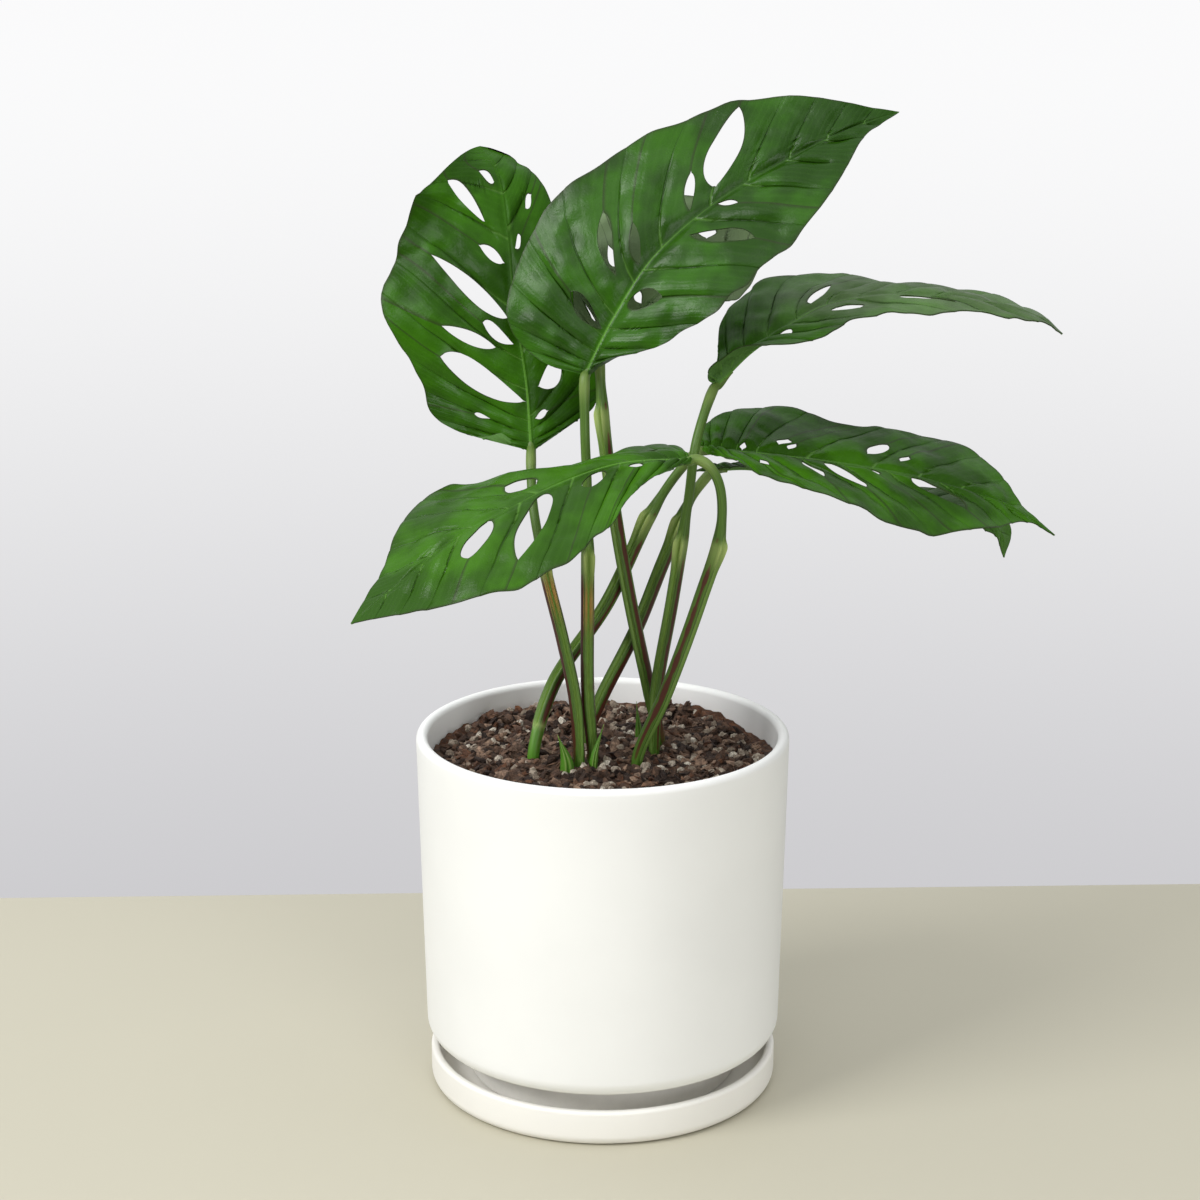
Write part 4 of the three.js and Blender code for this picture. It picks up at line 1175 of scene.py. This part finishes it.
def leaf_half(leaf, side, columns, rows):
    """One half of a blade on a grid of vein and of way across. Each hole parts the grid along its own
    vein line, and the lines between move aside evenly. Returns the points' keys, places, vein counts,
    ways across, rib and rim values and flat places, and the triangles."""
    half = leaf["left" if side > 0 else "right"]
    length = rib_length(leaf)
    lines = sorted({0.0, 1.0, *(hole[0] for hole in half["holes"])})
    veins = vein_places(half)
    rib_rows = BLADE["rib_rows"]
    share = np.concatenate([np.zeros(rib_rows), np.linspace(0, 1, rows + 1)])
    rise = np.concatenate([np.arange(rib_rows) / rib_rows, np.ones(rows + 1)])
    outline = [(0, 0), *half["base"]]
    outline += [(length * (i + 1) / len(half["widths"]), width) for i, width in enumerate(half["widths"])]
    parts = []
    triangles = []
    start = 0
    for low, high in zip(lines, lines[1:]):
        inner = columns[(columns > low + 1e-6) & (columns < high - 1e-6)]
        t = ((np.concatenate([[low], inner, [high]]) - low) / (high - low))[:, None]
        begin, finish = hole_opening(half["holes"], low, share), hole_opening(half["holes"], high, share)
        near, far = line_place(half["holes"], low, share), line_place(half["holes"], high, share)
        vein = (near + begin) * (1 - t) + (far - finish) * t
        soft = 0.035 * smooth(vein, 0.12, 0.3) * (1 - smooth(vein, 0.85, 1.0))
        edge = (spline(outline, vein - soft) + 2 * spline(outline, vein) + spline(outline, vein + soft)) / 4
        ripple = (value_noise(27 * vein, 0 * vein, 1.0, 20 + side) - 0.5) * 2 * smooth(vein, 0.1, 0.3)
        tip = np.clip((vein - 0.87) / 0.13, 0, 1)
        blunt = leaf.get("blunt", 0) * tip ** 2 * np.sqrt(1 - tip)
        reach = np.maximum(edge[..., 1] + ripple * (1 - smooth(vein, 0.8, 0.95)) + blunt, 0)
        rib = np.minimum(BLADE["rib_half"] * (1 - 0.75 * vein), 0.3 * reach)
        root = length * vein ** leaf["lag"]
        along = root + (edge[..., 0] - root) * share ** BLADE["sweep"]
        across = rib * rise + (reach - rib) * share
        rim = np.broadcast_to(smooth(share, 0.97, 1.0), vein.shape).copy()
        rim[0] = np.maximum(rim[0], begin > 0)
        rim[-1] = np.maximum(rim[-1], finish > 0)
        on_rib = np.broadcast_to(rise, vein.shape)
        ends = (vein <= 1e-9) | (vein >= 1 - 1e-9)
        key = np.stack([np.where(ends | (on_rib == 0), 0, side), vein, np.where(ends, 0, share + 0 * vein),
                        np.where(ends, 0, on_rib)], -1)
        grid = grid_triangles(len(t), len(share))
        parts.append([key.reshape(-1, 4), bent(leaf, half, side, along, across).reshape(-1, 3),
                      np.interp(vein, veins, np.arange(len(veins))).reshape(-1),
                      np.broadcast_to(share, vein.shape).reshape(-1), on_rib.reshape(-1), rim.reshape(-1),
                      np.stack([along, side * across], -1).reshape(-1, 2)])
        triangles.append((grid[:, ::-1] if side > 0 else grid) + start)
        start += vein.size
    return [np.concatenate(column) for column in zip(*parts)], np.concatenate(triangles)


def leaf_surface(leaf, look):
    """Both halves are joined at the midrib. The blade swells between its side veins, steeply above each
    vein and gently below the next, and is dented softly by noise. It is then given two faces half its
    thickness either side, with a keel and raised veins below and a wall on every edge that only one
    triangle has."""
    thickness, relief, keel = (value / MM for value in (look.thickness, look.relief, look.keel))
    lines = [hole[0] for side in ("left", "right") for hole in leaf[side]["holes"]]
    places = [vein_places(leaf[side]) for side in ("left", "right")]
    columns = np.unique(np.round(np.concatenate([np.linspace(0, 1, look.columns + 1), lines, *places]), 5))
    left, left_faces = leaf_half(leaf, 1, columns, look.rows)
    right, right_faces = leaf_half(leaf, -1, columns, look.rows)
    key, *layers = (np.concatenate(pair) for pair in zip(left, right))
    triangles = np.concatenate([left_faces, right_faces + len(left[0])])
    kept, triangles = merged(np.round(key, 6), triangles)
    points, count, share, rise, rim, flat = (layer[kept] for layer in layers)
    vein = key[kept, 1]
    fraction = count - np.floor(count)
    swell = np.sin(np.pi * fraction ** 0.75) ** 0.7
    ends = smooth(vein, 0.03, 0.16) * (1 - smooth(vein, 0.88, 1.0))
    window = smooth(share, 0.0, 0.16) * (1 - 0.7 * smooth(share, 0.4, 0.95)) * ends
    beside = smooth(share, 0.0, 0.09) * (1 - smooth(share, 0.09, 0.5)) * ends
    coarse, fine = (value_noise(*flat.T, cell, seed) for cell, seed in ((13.0, 31), (5.5, 32)))
    dents = coarse + 0.5 * fine - 0.75
    lift = relief * (swell - 0.5) * window + 0.35 * relief * beside \
        + look.unevenness / MM * dents * smooth(share, 0.0, 0.2) * ends
    points = points + point_normals(points, triangles) * lift[:, None]
    normals = point_normals(points, triangles)
    slim = 1 - 0.75 * vein
    ridge = np.sqrt(np.maximum(0, 1 - rise ** 2)) * slim
    raised = np.exp(-(np.minimum(fraction, 1 - fraction) / 0.07) ** 2) * window * (1 - share) * 0.3
    upper = points + normals * (thickness / 2 + 0.12 * ridge)[:, None]
    lower = points - normals * (thickness / 2 + keel * ridge + raised)[:, None]
    number = len(points)
    edges = np.concatenate([triangles[:, [0, 1]], triangles[:, [1, 2]], triangles[:, [2, 0]]])
    codes = edges[:, 0] * number + edges[:, 1]
    border = edges[~np.isin(edges[:, 1] * number + edges[:, 0], codes)]
    a, b = border.T
    walls = [np.column_stack([a, a + number, b + number]), np.column_stack([a, b + number, b])]
    faces = np.concatenate([triangles, triangles[:, ::-1] + number, *walls])
    fade = 1 - 0.9 * smooth(vein ** leaf["lag"], 0.1, 0.6)
    rib = np.concatenate([(1 - smooth(rise, 0.2, 0.8)) * fade, 1 - smooth(rise, 0.55, 1.0)])
    values = {"under": np.repeat([0.0, 1.0], number), "rib": rib, "rim": np.tile(rim, 2),
              "far": np.tile(vein, 2)}
    points = np.clip(np.concatenate([upper, lower]), *BOX)
    return points, faces, values, np.tile(np.column_stack([count, share]), (2, 1))


class VINE_OT_leaves(bpy.types.Operator):
    """Grows the seven leaves with their holes"""
    bl_idname = "vine.leaves"
    bl_label = "Add leaves"

    def execute(self, context):
        look = context.scene.vine_leaves
        for name, leaf in LEAVES.items():
            points, triangles, values, uv = leaf_surface(leaf, look)
            skin = leaf_material(f"leaf_skin_{name}", look, *LEAF_TONES[name])
            add_piece(f"blade_{name}", points, triangles, skin, f"leaf_{name}", values, uv, 55)
        return {"FINISHED"}


# Stage

def soft_light(name, place, aim, size, power):
    """A square area light that looks at a point."""
    light = bpy.data.lights.new(name, "AREA")
    light.size = size
    light.energy = power
    holder = bpy.data.objects.new(name, light)
    bpy.context.scene.collection.objects.link(holder)
    away = np.subtract(place, aim)
    tilt = math.atan2(np.hypot(away[0], away[1]), away[2])
    turn = math.atan2(away[0], -away[1])
    holder.location = place
    holder.rotation_euler = (tilt, 0, turn)


def backdrop(strength):
    """A pale world that darkens a little downwards. What lights the plant is dim towards the camera's
    side and bright behind and above."""
    world = bpy.data.worlds.new("studio")
    world.use_nodes = True
    tree = world.node_tree
    tree.nodes.clear()
    direction = add(tree, "ShaderNodeTexCoord").outputs["Generated"]
    parts = add(tree, "ShaderNodeSeparateXYZ", {0: direction}).outputs
    colour = tint(tree, ramp(tree, parts[2], -0.42, -0.04), (0.59, 0.585, 0.605), (0.96, 0.96, 0.965))
    shown = add(tree, "ShaderNodeBackground", {"Color": colour, "Strength": 1.0}).outputs[0]
    behind = ramp(tree, parts[1], -0.5, 0.6, 0.3, 0.95)
    above = ramp(tree, parts[2], 0.3, 0.95, 0.0, 1.6)
    power = times(tree, calc(tree, "ADD", behind, above), strength)
    lit = add(tree, "ShaderNodeBackground", {"Color": (0.98, 0.99, 1.0, 1), "Strength": power}).outputs[0]
    camera_ray = add(tree, "ShaderNodeLightPath").outputs["Is Camera Ray"]
    mixed = add(tree, "ShaderNodeMixShader", {0: camera_ray, 1: lit, 2: shown}).outputs[0]
    add(tree, "ShaderNodeOutputWorld", {"Surface": mixed})
    bpy.context.scene.world = world


class VINE_OT_stage(bpy.types.Operator):
    """Sets up the floor, the backdrop, the lights and the camera"""
    bl_idname = "vine.stage"
    bl_label = "Add stage"

    def execute(self, context):
        look = context.scene.vine_stage
        slope = (TABLE["right_edge"] - TABLE["left_edge"]) / (2 * TABLE["edge_reach"])
        middle = (TABLE["right_edge"] + TABLE["left_edge"]) / 2
        wide, front = TABLE["half_width"], TABLE["front"]
        far_edge = [(side * wide, middle + side * slope * wide, 0) for side in (1, -1)]
        corners = [(-wide, front, 0), (wide, front, 0), *far_edge]
        mesh = bpy.data.meshes.new("floor")
        mesh.from_pydata(corners, [], [(0, 1, 2, 3)])
        material = new_material("floor_paint")
        tree = material.node_tree
        patches = use(tree, mottle(), Scale=3.0, Low=0.3, High=0.7)
        colour = tint(tree, patches["Mask"], scaled(look.floor, 0.97), look.floor)
        finish_material(material, {"Base Color": colour, "Roughness": 0.6}, patches["Grain"], 0.0001, 0.1)
        mesh.materials.append(material)
        floor = bpy.data.objects.new("floor", mesh)
        context.scene.collection.objects.link(floor)
        backdrop(look.ambient)
        for name, (place, aim, size) in LIGHTS.items():
            soft_light(f"{name}_light", place, aim, size, getattr(look, name))
        lens = bpy.data.cameras.new("camera")
        lens.lens, lens.sensor_width, lens.shift_x = CAMERA["lens"], CAMERA["sensor"], CAMERA["shift"]
        lens.sensor_fit = "HORIZONTAL"
        camera = bpy.data.objects.new("camera", lens)
        camera.location = (0, -CAMERA["back"], CAMERA["height"])
        camera.rotation_euler = (math.radians(90 - CAMERA["pitch"]), 0, 0)
        context.scene.collection.objects.link(camera)
        context.scene.camera = camera
        context.scene.view_settings.view_transform = "Standard"
        return {"FINISHED"}


# Panel and registration

SETTINGS = {
    "vine_ceramics": VineCeramicSettings,
    "vine_soil": VineSoilSettings,
    "vine_stalks": VineStalkSettings,
    "vine_leaves": VineLeafSettings,
    "vine_stage": VineStageSettings,
}
OPERATORS = (VINE_OT_stage, VINE_OT_ceramics, VINE_OT_soil, VINE_OT_stalks, VINE_OT_leaves)


class VINE_PT_panel(bpy.types.Panel):
    """Lists each group of pieces with its settings"""
    bl_idname = "VINE_PT_panel"
    bl_label = "Swiss cheese vine"
    bl_space_type = "VIEW_3D"
    bl_region_type = "UI"
    bl_category = "Vine"

    def draw(self, context):
        for operator in OPERATORS:
            box = self.layout.box()
            box.operator(operator.bl_idname)
            name = operator.bl_idname.replace(".", "_")
            settings = getattr(context.scene, name)
            for title in settings.__annotations__:
                box.prop(settings, title)


def register():
    """Makes the settings, the operators and the panel known."""
    for kind in (*SETTINGS.values(), *OPERATORS, VINE_PT_panel):
        bpy.utils.register_class(kind)
    for name, kind in SETTINGS.items():
        setattr(bpy.types.Scene, name, PointerProperty(type=kind))


def unregister():
    """Takes them away again."""
    for name in SETTINGS:
        delattr(bpy.types.Scene, name)
    for kind in reversed((*SETTINGS.values(), *OPERATORS, VINE_PT_panel)):
        bpy.utils.unregister_class(kind)


def main():
    """Builds everything through the operators."""
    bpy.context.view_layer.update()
    register()
    bpy.ops.vine.stage()
    bpy.ops.vine.ceramics()
    bpy.ops.vine.soil()
    bpy.ops.vine.stalks()
    bpy.ops.vine.leaves()


if __name__ == "__main__":
    main()
